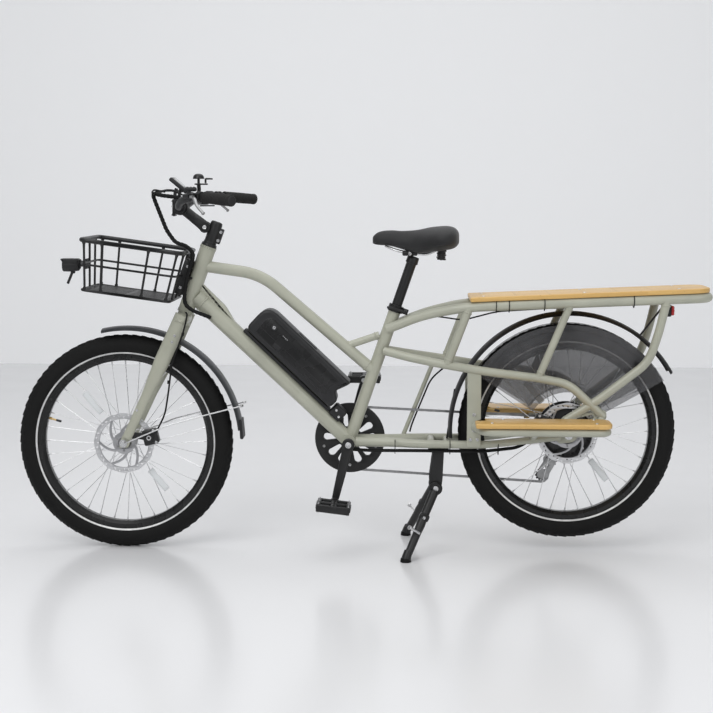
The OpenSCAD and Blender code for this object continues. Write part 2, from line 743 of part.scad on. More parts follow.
module handlebar() color(black) {
  half = [for (i = [1:4]) bar_line[i]];
  pipe(concat([for (i = [3:-1:0]) half[i]], [for (q = half) mirrored(q)]), bar_r, bend = 26, steps = 3,
    ref = [0, 0, 1]);
  drum(bar_centre, bar_clamp_r, -34, 34);
}

// The grip's direction from its inner to its outer end
grip_dir = unit(bar_line[4] - bar_line[3]);
grip_in = bar_line[4] - 118 * grip_dir;

module grips() color(dark) both_sides() difference() {
  rod(grip_in, bar_line[4] + 4 * grip_dir, 16.5);
  rod(grip_in - grip_dir, bar_line[4] + 0.2 * grip_dir, bar_r);
}

perch = grip_in - 22 * grip_dir;
lever_out = 27;
lever_pin = perch - lever_out * unit([-grip_dir[1], grip_dir[0], 0]);

// Local X runs out along the grip and local -Y away from the rider
module on_perch() translate(perch) rotate([0, 0, atan2(grip_dir[1], grip_dir[0])]) children();

module bar_controls() color(black) {
  both_sides() on_perch() {
    rod([-8, 0, 0], [8, 0, 0], 15);
    difference() {
      translate([-11, -38, -11]) cube([22, 30, 22]);
      translate([-9, -50, -4.5]) cube([30, 32, 9]);
    }
    rod([-10, -28, 2], [-44, -26, 2], 7);
    translate([0, -lever_out, 0]) cylinder(h = 22, r = 2.5, center = true);
  }
  mirror([0, 1, 0]) rod(perch - 42 * grip_dir, perch - 22 * grip_dir, 16);
  mirror([0, 1, 0]) on_perch() translate([-48, -12, -18]) cube([28, 26, 16], center = true);
  rod(perch - 50 * grip_dir, perch - 38 * grip_dir, 14);
  translate(perch - 44 * grip_dir + [0, 6, 18]) cube([34, 24, 12], center = true);
}

module brake_lever() color(silver) on_perch() translate([0, -lever_out, 0]) difference() {
  union() {
    cylinder(h = 8, r = 8, center = true);
    translate([0, -4, -4]) cube([19, 8, 8]);
    pipe([[15, -1, 0], [24, -9, -7], [44, -17, -25], [72, -17, -44]], 6, bend = 9, steps = 3, sides = 8);
  }
  cylinder(h = 30, r = 2.56, center = true);
}
module brake_lever_left() brake_lever();
module brake_lever_right() mirror([0, 1, 0]) brake_lever();

shift_at = perch - 48 * unit([grip_dir[0], grip_dir[1], 0]) - 12 * unit([-grip_dir[1], grip_dir[0], 0]);
shift_pivot = mirrored([shift_at[0], shift_at[1], perch[2] - 18]);

module shifter_lever() color(dark) translate(shift_pivot + [0, 0, -11]) {
  cylinder(h = 4, r = 10, center = true);
  translate([0, -5, -2]) rotate(35) cube([40, 10, 4]);
}

module display() color(black) {
  translate([168, 0, 1074]) rotate([0, 40, 0]) cube([66, 84, 12], center = true);
  for (y = [-46, 38]) drum([bar_centre[0] + 1, 0, bar_centre[2] + 1], 18, y, y + 8);
  for (y = [-46, 38]) translate([150, y, 1026]) cube([22, 8, 50]);
}

bell_c = [206, 118, 1094];

module bell() color(black) {
  translate(bell_c) cylinder(h = 12, r = 17);
  translate(bell_c + [0, 0, 11]) cylinder(h = 5, r1 = 17, r2 = 10);
  translate(bell_c + [0, 0, -14]) cylinder(h = 15, r = 4);
  translate(bell_c + [-12, -9, -18]) cube([40, 18, 5]);
  rod(mirrored(bar_line[2]) + [12, 10, 8], bell_c + [0, 0, -15], 7);
}

module bell_lever() color(dark) translate(bell_c + [21, 0, -12.6]) {
  cylinder(h = 14.6, r = 3);
  translate([-2, -3, 11.6]) cube([24, 6, 3]);
}

// ---- cables --------------------------------------------------------------------------------------------

bundle_r = 6.4;
bundle = [[178, -92, 1040], [120, -62, 1046], [92, -36, 1052], [100, -30, 1026], [132, -31, 944], [158, -32, 908],
  [190, -34, 900], [212, -34, 876], [192, -34, 816], [182, -35, 756], [184, -38, 728], [206, -43, 712], [236, -41, 700],
  [256, -24, 690]];
hose_left = [[150, -170, 1056], [112, -120, 1062], [96, -60, 1056], [93, -36, 1050]];
light_wire = [[870, -20, 703], [995, -72, 690], [1090, -80, 716], [1300, -80, 730], [1560, -76, 742], [1584, -22, 724]];
stay_wire = [[948, 76, 538], [905, 77, 500], [850, 62, 368], [843, 59, 342]];
stay_hose = [[676, -30, 300], [730, -44, 300], [840, -58, 303], [1060, -66, 304], [1160, -66, 316], [1200, -58, 342]];

// The bundle from the handlebar down to the down tube, and the level round the steering axis where it parts
module bundle_tube() pipe(bundle, bundle_r, bend = 12, steps = 3, sides = 10);
module above(z) on_steering() translate([-400, -300, z]) cube([600, 600, 400]);

module steering_cables() color(black) {
  intersection() {
    bundle_tube();
    above(201.5);
  }
  pipe(hose_left, 2.6, bend = 14, steps = 3, sides = 8);
  pipe([for (q = hose_left) q[1] < -40 ? mirrored(q) : q], 2.6, bend = 14, steps = 3, sides = 8);
}

module frame_cables() color(black) {
  difference() {
    bundle_tube();
    above(200.5);
  }
  pipe(light_wire, 2.2, bend = 20, steps = 3, sides = 8);
  pipe(stay_wire, 2.6, bend = 14, steps = 3, sides = 8);
  pipe(stay_hose, 2.8, bend = 20, steps = 3, sides = 8);
}

// ---- centre stand --------------------------------------------------------------------------------------

module stand_bracket() color(dark) {
  translate([896, -52, 303]) cube([62, 104, 10]);
  both_sides() difference() {
    plate(-38, -30) blob([[927, 304, 16], [924, 250, 15], [stand_pivot[0], stand_pivot[2], 21]]);
    drum(stand_pivot, 8.05, -60, 0);
  }
}

foot_c = [foot_x, -foot_half_track, 0];

module stand_legs() color(dark) {
  drum(stand_pivot, 8, -48, 48);
  both_sides() {
    drum(stand_pivot, 20, -50, -38.5);
    intersection() {
      union() {
        rod([stand_pivot[0] - 2, -46, stand_pivot[2] - 5], foot_c + [2, 2, 4], 14, 12);
        rod(foot_c + [6, 8, 14], foot_c + [0, -1, -3], 16, 16);
      }
      translate([700, -220, 0]) cube([300, 181.5, 400]);
    }
    rod(foot_c + [40, 34, 76], foot_c + [14, 16, 96], 4);
  }
}

place() head_tube();
place() top_tube();
place() down_tube();
place() seat_tube();
place() chainstays();
place() upper_rails();
place() mid_rails();
place() rack_struts();
place() footboard_frames();
place() deck_board();
place() footboards();
place() rear_fender();
place() skirt_guards();
place() tail_light();
place() battery_cradle();
place() battery();
place() seat_clamp();
place() seat_clamp_lever();
place() seatpost();
place() saddle();
place() basket();
place() headlight();
place() rear_caliper();
place() derailleur();
place() guide_pulley();
place() tension_pulley();
place() chain();
place() frame_cables();
place() steering_cables();
place() stand_bracket();
place() stand_legs();
place() rear_axle();
place() fork();
place() stem();
place() stem_arm();
place() handlebar();
place() grips();
place() bar_controls();
place() brake_lever_left();
place() brake_lever_right();
place() shifter_lever();
place() display();
place() bell();
place() bell_lever();
place() front_caliper();
place() front_fender();
place() front_axle();
place() front_hub();
place() front_rim();
place() front_tyre();
place() front_rotor();
place() hub_motor();
place() rear_rim();
place() rear_tyre();
place() rear_rotor();
place() freewheel();
place() cranks();
place() chainring();
place() pedal_left();
place() pedal_right();
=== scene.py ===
"""Looks of a longtail electric cargo bicycle, built round its packed frame. Lengths in the pieces are
millimetres, with X counted rearwards from the front axle, +Y to the bicycle's right side and Z up from
the floor."""

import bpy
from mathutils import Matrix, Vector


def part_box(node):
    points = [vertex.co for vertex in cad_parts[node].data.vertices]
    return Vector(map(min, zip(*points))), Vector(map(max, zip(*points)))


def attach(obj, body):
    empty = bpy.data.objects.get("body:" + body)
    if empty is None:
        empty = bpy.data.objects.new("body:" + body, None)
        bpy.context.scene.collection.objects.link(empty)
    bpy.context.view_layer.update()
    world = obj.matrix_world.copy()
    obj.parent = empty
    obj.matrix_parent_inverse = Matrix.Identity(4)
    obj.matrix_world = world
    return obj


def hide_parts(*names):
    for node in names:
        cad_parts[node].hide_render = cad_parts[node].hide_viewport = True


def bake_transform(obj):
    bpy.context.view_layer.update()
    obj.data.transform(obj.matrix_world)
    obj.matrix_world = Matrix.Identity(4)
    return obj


bl_info = {
    "name": "Longtail cargo bicycle",
    "version": (1, 0, 0),
    "blender": (4, 5, 0),
    "location": "View3D > Sidebar > Bicycle",
    "description": "Builds the looks of a longtail electric cargo bicycle",
    "category": "Object",
}

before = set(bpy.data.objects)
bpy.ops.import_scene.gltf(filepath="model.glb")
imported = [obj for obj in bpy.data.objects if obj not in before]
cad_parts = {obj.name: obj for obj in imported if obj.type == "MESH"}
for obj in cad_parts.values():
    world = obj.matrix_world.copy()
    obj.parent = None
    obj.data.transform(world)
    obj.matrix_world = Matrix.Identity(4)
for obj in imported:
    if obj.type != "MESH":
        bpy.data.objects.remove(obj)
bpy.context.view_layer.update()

from math import asin, atan2, cos, hypot, pi, radians, sin

import bmesh
import bpy
from bpy.props import FloatProperty, FloatVectorProperty, PointerProperty
from mathutils import Matrix, Vector

AXLE_X = (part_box("front_tyre")[0].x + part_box("front_tyre")[1].x) / 2
TO_ROW = Matrix.Translation((AXLE_X, 0, 0)) @ Matrix.Scale(0.001, 4)

FRONT = Vector((0, 0, 318.5))
REAR = Vector((1302.5, 0, 358.5))
BOTTOM = Vector((664, 0, 324))
CROWN = Vector((175, 0, 690))
STAND = Vector((920, 0, 190))
TENSION = Vector((1238, 0, 214))
GUIDE = Vector((1268, 0, 258))
STEER = Matrix.Translation(CROWN) @ Matrix.Rotation(radians(20), 4, "Y")
SEAT = Matrix.Translation(BOTTOM) @ Matrix.Rotation(radians(18.97), 4, "Y")
PACK = Matrix.Translation((357, 0, 656)) @ Matrix.Rotation(radians(43.4), 4, "Y")
DECK = Matrix.Translation((1014, 0, 743)) @ Matrix.Rotation(radians(-2.46), 4, "Y")
BASKET = Matrix.Translation((-103, 0, 776)) @ Matrix.Rotation(radians(7.7), 4, "Y")
UPRIGHT = Matrix.Rotation(pi / 2, 4, "X")
FLIP = Matrix.Diagonal((1, -1, 1, 1))


# ---- finishes ----------------------------------------------------------------------------------------------


class Amount:
    """A shader socket that can be used in sums"""

    def __init__(self, finish, socket):
        self.finish, self.socket = finish, socket

    def sum(self, operation, *terms):
        node = self.finish.node("ShaderNodeMath", {"operation": operation}, dict(enumerate(terms)))
        return Amount(self.finish, node.outputs[0])

    def __add__(self, other): return self.sum("ADD", self, other)
    def __radd__(self, other): return self.sum("ADD", other, self)
    def __sub__(self, other): return self.sum("SUBTRACT", self, other)
    def __rsub__(self, other): return self.sum("SUBTRACT", other, self)
    def __mul__(self, other): return self.sum("MULTIPLY", self, other)
    def __rmul__(self, other): return self.sum("MULTIPLY", other, self)
    def __truediv__(self, other): return self.sum("DIVIDE", self, other)
    def __pow__(self, other): return self.sum("POWER", self, other)
    def above(self, level): return self.sum("GREATER_THAN", self, level)
    def fraction(self): return self.sum("FRACT", self)
    def floor(self): return self.sum("FLOOR", self)


class Finish:
    """One material: its shader, and short ways to the nodes that feed it"""

    def __init__(self, name, **fixed):
        self.material = bpy.data.materials.new(name)
        self.material.use_nodes = True
        self.tree = self.material.node_tree
        self.tree.nodes.clear()
        names = {key: key.replace("_", " ").title().replace("Ior", "IOR") for key in fixed}
        self.shader = self.node("ShaderNodeBsdfPrincipled", {}, {names[k]: v for k, v in fixed.items()})
        out = self.node("ShaderNodeOutputMaterial")
        self.tree.links.new(self.shader.outputs[0], out.inputs["Surface"])

    def node(self, kind, settings=None, inputs=None):
        node = self.tree.nodes.new(kind)
        for key, value in (settings or {}).items():
            if key == "stops":
                band = node.color_ramp.elements
                while len(band) < len(value):
                    band.new(0.5)
                for stop, (where, colour) in zip(band, value):
                    stop.position, stop.color = where, (*colour, 1)
            else:
                setattr(node, key, value)
        for key, value in (inputs or {}).items():
            socket = node.inputs[key]
            if isinstance(value, Amount):
                self.tree.links.new(value.socket, socket)
            elif hasattr(socket.default_value,
                    "__len__") and len(value) == 3 and len(socket.default_value) == 4:
                socket.default_value = (*value, 1)
            else:
                socket.default_value = value
        return node

    def spot(self, stretch=(1, 1, 1), centre=(0, 0, 0), turn=(0, 0, 0)):
        where = Amount(self, self.node("ShaderNodeTexCoord").outputs["Object"])
        return Amount(self, self.node("ShaderNodeMapping", {"vector_type": "TEXTURE"},
            {"Vector": where, "Location": centre, "Rotation": turn, "Scale": stretch}).outputs[0])

    def axes(self, spot):
        parts = self.node("ShaderNodeSeparateXYZ", {}, {0: spot}).outputs
        return [Amount(self, part) for part in parts]

    def noise(self, scale, detail=3, spot=None, roughness=0.5):
        return Amount(self, self.node("ShaderNodeTexNoise", {},
            {"Vector": spot or self.spot(), "Scale": scale,
            "Detail": detail, "Roughness": roughness}).outputs[0])

    def cells(self, scale, spot=None):
        return Amount(self, self.node("ShaderNodeTexVoronoi", {}, {"Vector": spot or self.spot(),
            "Scale": scale}).outputs[0])

    def ramp(self, amount, *stops):
        return Amount(self, self.node("ShaderNodeValToRGB", {"stops": stops}, {0: amount}).outputs[0])

    def mix(self, factor, a, b):
        return Amount(self, self.node("ShaderNodeMix", {"data_type": "RGBA"},
            {0: factor, 6: a, 7: b}).outputs[2])

    def feed(self, **links):
        for key, amount in links.items():
            self.tree.links.new(amount.socket, self.shader.inputs[key.replace("_", " ").title()])
        return self

    def bump(self, height, strength, distance=0.0005):
        node = self.node("ShaderNodeBump", {}, {"Strength": strength, "Distance": distance, "Height": height})
        self.tree.links.new(node.outputs[0], self.shader.inputs["Normal"])
        return self


def satin_paint(name, colour):
    """Powder coat: a fine orange peel, faint cloudiness and dust, under a clear coat"""
    f = Finish(name, coat_weight=0.35, coat_roughness=0.22)
    cloud = f.noise(9, 4)
    specks = f.noise(1400, 1).above(0.74)
    darker = [c * 0.88 for c in colour]
    lighter = [min(1, c * 1.06) for c in colour]
    tone = f.ramp(cloud, (0.3, darker), (0.7, lighter))
    f.feed(base_color=f.mix(specks * 0.25, tone, [c * 0.6 for c in colour]), roughness=cloud * 0.14 + 0.34)
    return f.bump(f.noise(520, 2), 0.10, 0.0003).material


def coated_black(name, level=0.010, shine=0.42, peel=0.12):
    """Black coated metal with a fine texture and slightly paler worn patches"""
    f = Finish(name, metallic=0.25, coat_weight=0.15, coat_roughness=0.3)
    cloud = f.noise(22, 5)
    wear = f.noise(160, 3, roughness=0.7).above(0.68)
    tone = f.ramp(cloud, (0.3, (level * 0.8,) * 3), (0.75, (level * 1.5, level * 1.5, level * 1.55)))
    f.feed(base_color=f.mix(wear * 0.35, tone, (level * 3, level * 3, level * 3.1)),
        roughness=cloud * 0.22 + shine - 0.1)
    return f.bump(f.noise(900, 2), peel, 0.0003).material


def moulded_plastic(name, colour=(0.012, 0.012, 0.013), shine=0.5):
    """Injection moulded plastic with a spark-eroded grain"""
    f = Finish(name, specular_ior_level=0.45)
    grain = f.cells(1500)
    cloud = f.noise(30, 3)
    tone = f.ramp(cloud, (0.3, [c * 0.85 for c in colour]), (0.7, [c * 1.25 for c in colour]))
    f.feed(base_color=tone, roughness=grain * 0.12 + cloud * 0.1 + shine - 0.08)
    return f.bump(grain, 0.16, 0.0002).material


def bare_metal(name, level=0.72, shine=0.26, grime=0.25):
    """Bare or plated metal with brushed streaks and grey grime"""
    f = Finish(name, metallic=1.0)
    streaks = f.noise(700, 3, f.spot((1, 1, 6)))
    dirt = f.ramp(f.noise(60, 5), (0.45, (0, 0, 0)), (0.72, (1, 1, 1)))
    f.feed(base_color=f.mix(dirt * grime, (level, level, level * 1.01),
        (level * 0.45,) * 3), roughness=streaks * 0.2 + shine - 0.08)
    return f.bump(streaks, 0.05, 0.0002).material


def disc_steel(name, centre):
    """Brake disc steel with fine rings worn round it by the pads"""
    f = Finish(name, metallic=1.0)
    x, y, z = f.axes(f.spot(centre=tuple(TO_ROW @ centre)))
    radius = (x * x + z * z) ** 0.5
    rings = f.noise(2600, 2, Amount(f, f.node("ShaderNodeCombineXYZ", {}, {0: radius}).outputs[0]))
    worn = radius.above(0.074) * 1.0
    f.feed(base_color=f.mix(worn, (0.42, 0.42, 0.43), (0.66, 0.66, 0.67)), roughness=rings * 0.3 + 0.18)
    return f.bump(rings, 0.08, 0.0002).material


def rubber(name, level=0.005, dust=0.35, grain=900):
    """Rubber with a bloom of dust in its hollows"""
    f = Finish(name, specular_ior_level=0.22)
    cloud = f.noise(34, 5, roughness=0.62)
    tone = f.ramp(cloud, (0.35, (level,) * 3), (0.8, (level * (1 + 2 * dust), level * (1 + 1.9 * dust),
        level * (1 + 1.7 * dust))))
    f.feed(base_color=tone, roughness=cloud * 0.2 + 0.62)
    return f.bump(f.noise(grain, 2), 0.2, 0.0004).material


def bamboo(name, light, dark):
    """Laminated bamboo: strips side by side and in layers, with long fibres and darker knots, under a
    satin lacquer"""
    f = Finish(name, coat_weight=0.25, coat_roughness=0.25)
    x, y, z = f.axes(f.spot())
    strip = (y * 55).floor()
    layer = (z * 240).floor()
    own = f.node("ShaderNodeTexWhiteNoise", {"noise_dimensions": "3D"},
        {0: Amount(f, f.node("ShaderNodeCombineXYZ", {},
        {0: ((x + strip * 0.137) * 3.1).floor(), 1: strip, 2: layer}).outputs[0])})
    fibre = f.noise(900, 4, f.spot((28, 1, 1)))
    knots = f.ramp(((x + Amount(f, own.outputs[0]) * 0.4) * 5.2).fraction(), (0.0, (1, 1, 1)),
        (0.02, (0, 0, 0)))
    joint = f.ramp((y * 55).fraction(), (0.0, (1, 1, 1)), (0.03, (0, 0, 0)))
    edge = f.ramp((z * 240).fraction(), (0.0, (1, 1, 1)), (0.10, (0, 0, 0)))
    tone = f.mix(Amount(f, own.outputs[0]) * 0.6 + fibre * 0.4 - 0.1, light, dark)
    tone = f.mix(fibre * 0.3, tone, [c * 0.55 for c in dark])
    tone = f.mix(joint * 0.4, tone, [c * 0.5 for c in dark])
    tone = f.mix(edge * 0.22, tone, [c * 0.5 for c in dark])
    f.feed(base_color=f.mix(knots * 0.3, tone, [c * 0.4 for c in dark]), roughness=fibre * 0.22 + 0.34)
    return f.bump(fibre - joint * 0.5, 0.18, 0.0004).material


def saddle_vinyl(name):
    """Black saddle cover with a pebbled grain, a little sheen and paler rubbed parts"""
    f = Finish(name, sheen_weight=0.15, specular_ior_level=0.4)
    pebbles = f.cells(620)
    rubbed = f.noise(18, 4)
    f.feed(base_color=f.ramp(rubbed, (0.3, (0.007, 0.007, 0.0075)), (0.75, (0.018, 0.018, 0.019))),
        roughness=rubbed * 0.2 + pebbles * 0.15 + 0.42)
    return f.bump(pebbles + f.noise(1800, 2) * 0.3, 0.35, 0.0005).material


def smoked_sheet(name, strength):
    """Thin smoked plastic that lets the wheel show through"""
    f = Finish(name, ior=1.45, alpha=strength)
    haze = f.noise(40, 4)
    f.feed(base_color=f.ramp(haze, (0.3, (0.09, 0.09, 0.095)), (0.7, (0.13, 0.13, 0.135))),
        roughness=haze * 0.15 + 0.28)
    f.material.surface_render_method = "BLENDED"
    return f.bump(f.noise(300, 1), 0.04, 0.0003).material


def lens(name, colour, ribs=260, light=0.0):
    """A moulded lens with fine prisms"""
    f = Finish(name, coat_weight=0.8, coat_roughness=0.05, emission_strength=light)
    x, y, z = f.axes(f.spot())
    prism = (y * ribs).fraction() * (z * ribs).fraction()
    f.feed(base_color=f.mix(prism, colour, [c * 0.55 for c in colour]), roughness=prism * 0.15 + 0.1,
        emission_color=f.mix(prism, colour, [c * 0.5 for c in colour]))
    return f.bump(prism, 0.5, 0.0006).material


def reflective_band(name):
    """The pale reflective band on the tyre's side, made of tiny beads"""
    f = Finish(name, metallic=0.2)
    beads = f.cells(2400)
    f.feed(base_color=f.ramp(f.noise(60, 4), (0.3, (0.55, 0.55, 0.55)), (0.7, (0.78, 0.78, 0.77))),
        roughness=beads * 0.3 + 0.3)
    return f.bump(beads, 0.1, 0.0002).material


FINISHES = {}


def finish(name):
    """Each finish is made once, the first time that a piece asks for it"""
    look = bpy.context.scene.bicycle_finish
    makers = {
        "sage": lambda: satin_paint("sage_paint", look.paint),
        "black": lambda: coated_black("black_coat"),
        "gloss": lambda: coated_black("black_gloss_coat", 0.008, 0.26, 0.04),
        "steel": lambda: bare_metal("plated_steel"),
        "dull": lambda: bare_metal("grey_alloy", 0.42, 0.4, 0.4),
        "chain": lambda: bare_metal("oiled_chain_steel", 0.36, 0.34, 0.55),
        "brass": lambda: bare_metal_tint("valve_brass", (0.72, 0.5, 0.2)),
        "front_disc": lambda: disc_steel("front_disc_steel", FRONT),
        "rear_disc": lambda: disc_steel("rear_disc_steel", REAR),
        "plastic": lambda: moulded_plastic("black_plastic"),
        "case": lambda: moulded_plastic("battery_case", (0.013, 0.013, 0.014), 0.42),
        "grey_plastic": lambda: moulded_plastic("grey_mudguard", (0.034, 0.036, 0.040), 0.36),
        "tyre": lambda: rubber("tyre_rubber"),
        "grip": lambda: rubber("grip_rubber", 0.018, 0.2, 1500),
        "hose": lambda: rubber("hose_cover", 0.009, 0.1, 1200),
        "band": lambda: reflective_band("reflective_band"),
        "bamboo": lambda: bamboo("bamboo", look.bamboo_light, look.bamboo_dark),
        "saddle": lambda: saddle_vinyl("saddle_vinyl"),
        "smoke": lambda: smoked_sheet("smoked_guard", look.smoke),
        "red": lambda: lens("red_lens", (0.5, 0.012, 0.015), 260, 0.15),
        "clear": lambda: lens("clear_lens", (0.75, 0.77, 0.78), 180),
        "screen": lambda: lens("display_glass", (0.012, 0.014, 0.016), 60),
    }
    if name not in FINISHES:
        FINISHES[name] = makers[name]()
    return FINISHES[name]


def bare_metal_tint(name, colour):
    """Yellow metal with tarnish"""
    f = Finish(name, metallic=1.0)
    tarnish = f.noise(300, 4)
    f.feed(base_color=f.mix(tarnish, colour, [c * 0.6 for c in colour]), roughness=tarnish * 0.25 + 0.2)
    return f.material


# ---- shaping helpers ---------------------------------------------------------------------------------------


def vec(*p):
    return Vector(p)


def mirrored(points):
    return [Vector((p[0], -p[1], p[2])) for p in points]


def softened(points, reach, steps=7):
    """The path with each corner turned into a curve that starts reach before it and ends reach after it"""
    p = [Vector(q) for q in points]
    path = [p[0]]
    for before, corner, after in zip(p, p[1:], p[2:]):
        start = corner + (before - corner).normalized() * min(reach, (before - corner).length * 0.5)
        end = corner + (after - corner).normalized() * min(reach, (after - corner).length * 0.5)
        for k in range(steps + 1):
            t = k / steps
            path.append((1 - t) ** 2 * start + 2 * t * (1 - t) * corner + t * t * end)
    return path + [p[-1]]


def poses_along(path, up=(0, 1, 0)):
    """A pose at each point of a path, carried along it so that a tube doesn't twist"""
    side, last, poses = Vector(up), len(path) - 1, []
    if abs(side.dot((path[1] - path[0]).normalized())) > 0.95:
        side = Vector((side.z, side.x, side.y))
    for i, point in enumerate(path):
        way = (path[min(i + 1, last)] - path[max(i - 1, 0)]).normalized()
        side = (side - side.dot(way) * way).normalized()
        pose = Matrix((side, way.cross(side), way)).transposed().to_4x4()
        pose.translation = point
        poses.append(pose)
    return poses


def paint(bm, old, index):
    new = [f for f in bm.faces if f not in old]
    for f in new:
        f.material_index = index
    return new


def sweep(bm, path, radius, sides=20, up=(0, 1, 0), flat=1.0, index=0):
    """A round or flattened tube along a path; radius is a number or a function of 0 to 1 along it"""
    old = set(bm.faces)
    last = len(path) - 1
    sized = []
    for i, pose in enumerate(poses_along(path, up)):
        r = radius(i / last) if callable(radius) else radius
        sized.append(pose @ Matrix.Diagonal((flat * r, r, r, 1)))
    start = bmesh.ops.create_circle(bm, segments=sides, radius=1, matrix=sized[0])["verts"]
    ring = first = list({e for v in start for e in v.link_edges})
    for here, there in zip(sized, sized[1:]):
        grown = bmesh.ops.extrude_edge_only(bm, edges=ring)["geom"]
        verts = {g for g in grown if isinstance(g, bmesh.types.BMVert)}
        bmesh.ops.transform(bm, matrix=there @ here.inverted(), verts=list(verts))
        ring = [g for g in grown if isinstance(g, bmesh.types.BMEdge) and set(g.verts) <= verts]
    for loop in (first, ring):
        bmesh.ops.edgeloop_fill(bm, edges=loop)
    return paint(bm, old, index)


def turned(bm, profile, centre, steps=96, index=0, closed=True):
    """A profile of (radius, y) points spun round a sideways axis; index may depend on radius and y"""
    old = set(bm.faces)
    verts = [bm.verts.new(centre + Vector((r, y, 0))) for r, y in profile]
    pairs = list(zip(verts, verts[1:])) + ([(verts[-1], verts[0])] if closed else [])
    edges = [bm.edges.new(pair) for pair in pairs]
    bmesh.ops.spin(bm, geom=verts + edges, cent=centre, axis=(0, 1, 0), angle=2 * pi, steps=steps,
        use_merge=True)
    new = paint(bm, old, 0)
    for f in new:
        if callable(index):
            spot = f.calc_center_median() - centre
            f.material_index = index(hypot(spot.x, spot.z), spot.y)
        else:
            f.material_index = index
    return new


def drum(bm, centre, r, y0, y1, steps=64, soft=0.8, index=0):
    """A solid disc or drum on a sideways axis with softened rims"""
    s = min(soft, r * 0.3, abs(y1 - y0) * 0.3)
    c = Vector((centre.x, 0, centre.z))
    return turned(bm, [(0.001, y0), (r - s, y0), (r, y0 + s), (r, y1 - s), (r - s, y1), (0.001, y1)], c,
        steps, index,
        closed=False)


def round_bar(bm, a, b, r1, r2=None, sides=24, soft=0.0, index=0):
    old = set(bm.faces)
    a, b = Vector(a), Vector(b)
    pose = Matrix.Translation((a + b) / 2) @ (b - a).to_track_quat("Z", "Y").to_matrix().to_4x4()
    made = bmesh.ops.create_cone(bm, cap_ends=True, segments=sides, radius1=r1,
        radius2=r1 if r2 is None else r2,
        depth=(b - a).length, matrix=pose)["verts"]
    if soft:
        rims = [e for e in {e for v in made for e in v.link_edges}
            if any(len(f.verts) > 4 for f in e.link_faces)]
        bmesh.ops.bevel(bm, geom=rims, offset=soft, segments=3, profile=0.5, affect="EDGES", material=-1)
    return paint(bm, old, index)


def block(bm, size, pose, soft=2.0, index=0, segments=3):
    """A box with rounded edges, at the middle of its pose"""
    old = set(bm.faces)
    made = bmesh.ops.create_cube(bm, size=1, matrix=pose @ Matrix.Diagonal((*size, 1)))["verts"]
    if soft:
        edges = list({e for v in made for e in v.link_edges})
        bmesh.ops.bevel(bm, geom=edges, offset=soft, segments=segments, profile=0.5, affect="EDGES",
            material=-1)
    return paint(bm, old, index)


def bolt(bm, place, way, r=4.5, h=4.0, index=0):
    """A cap screw with a sunk socket"""
    place, way = Vector(place), Vector(way).normalized()
    new = round_bar(bm, place, place + way * h, r, sides=18, soft=r * 0.14, index=index)
    top = [f for f in new if f.is_valid and len(f.verts) > 6 and f.calc_center_median().dot(way) > (place
        + way * h * 0.8).dot(way)]
    if top:
        bmesh.ops.inset_individual(bm, faces=top[:1], thickness=r * 0.4, depth=-h * 0.6)


def outline_path(corners, steps=6):
    """A closed outline from (x, y, radius) corners, each rounded"""
    out, n = [], len(corners)
    for i, (x, y, r) in enumerate(corners):
        p = Vector((x, y))
        a = (Vector(corners[i - 1][:2]) - p).normalized()
        b = (Vector(corners[(i + 1) % n][:2]) - p).normalized()
        for k in range(steps + 1):
            t = k / steps
            out.append((1 - t) ** 2 * (p + a * r) + 2 * t * (1 - t) * p + t * t * (p + b * r))
    return out


def ring_path(r, steps=64, wave=0.0, count=0, start=0.0):
    return [Vector(((r + wave * cos(count * a)) * cos(a), (r + wave * cos(count * a)) * sin(a)))
        for a in (start + 2 * pi * k / steps for k in range(steps))]


def cut_plate(bm, outlines, thickness, pose, soft=0.0, index=0):
    """A flat plate with holes: the outlines fill as one 2D curve, which is made a mesh and put in place"""
    curve = bpy.data.curves.new("plate", "CURVE")
    curve.dimensions, curve.fill_mode = "2D", "BOTH"
    curve.extrude = thickness / 2 - soft
    curve.bevel_depth = soft
    curve.offset = -soft
    curve.bevel_resolution = 1
    for outline in outlines:
        line = curve.splines.new("POLY")
        line.points.add(len(outline) - 1)
        for point, q in zip(line.points, outline):
            point.co = (q[0], q[1], 0, 1)
        line.use_cyclic_u = True
    holder = bpy.data.objects.new("plate", curve)
    mesh = bpy.data.meshes.new_from_object(holder)
    held, old = set(bm.verts), set(bm.faces)
    bm.from_mesh(mesh)
    bmesh.ops.transform(bm, matrix=pose, verts=[v for v in bm.verts if v not in held])
    bpy.data.objects.remove(holder)
    bpy.data.meshes.remove(mesh)
    bpy.data.curves.remove(curve)
    return paint(bm, old, index)


def slab(bm, outline, thickness, pose, soft=3.0, index=0, segments=4):
    """A solid board from one outline, with its long edges rounded"""
    old = set(bm.faces)
    verts = [bm.verts.new((q[0], q[1], -thickness / 2)) for q in outline]
    face = bm.faces.new(verts)
    grown = bmesh.ops.extrude_face_region(bm, geom=[face])["geom"]
    top = [g for g in grown if isinstance(g, bmesh.types.BMVert)]
    bmesh.ops.translate(bm, verts=top, vec=(0, 0, thickness))
    new = [f for f in bm.faces if f not in old]
    rims = [e for f in new if len(f.verts) > 4 for e in f.edges]
    bmesh.ops.transform(bm, matrix=pose, verts=verts + top)
    if soft:
        bmesh.ops.bevel(bm, geom=list(set(rims)), offset=soft, segments=segments, profile=0.5, affect="EDGES",
            material=-1)
    return paint(bm, old, index)


def both_sides(bm, build):
    """Builds once and mirrors what was built to the other side"""
    old_faces = set(bm.faces)
    build()
    faces = [f for f in bm.faces if f not in old_faces]
    copy = bmesh.ops.duplicate(bm, geom=faces)["geom"]
    verts = [g for g in copy if isinstance(g, bmesh.types.BMVert)]
    bmesh.ops.transform(bm, matrix=FLIP, verts=verts)
    bmesh.ops.reverse_faces(bm, faces=[g for g in copy if isinstance(g, bmesh.types.BMFace)])


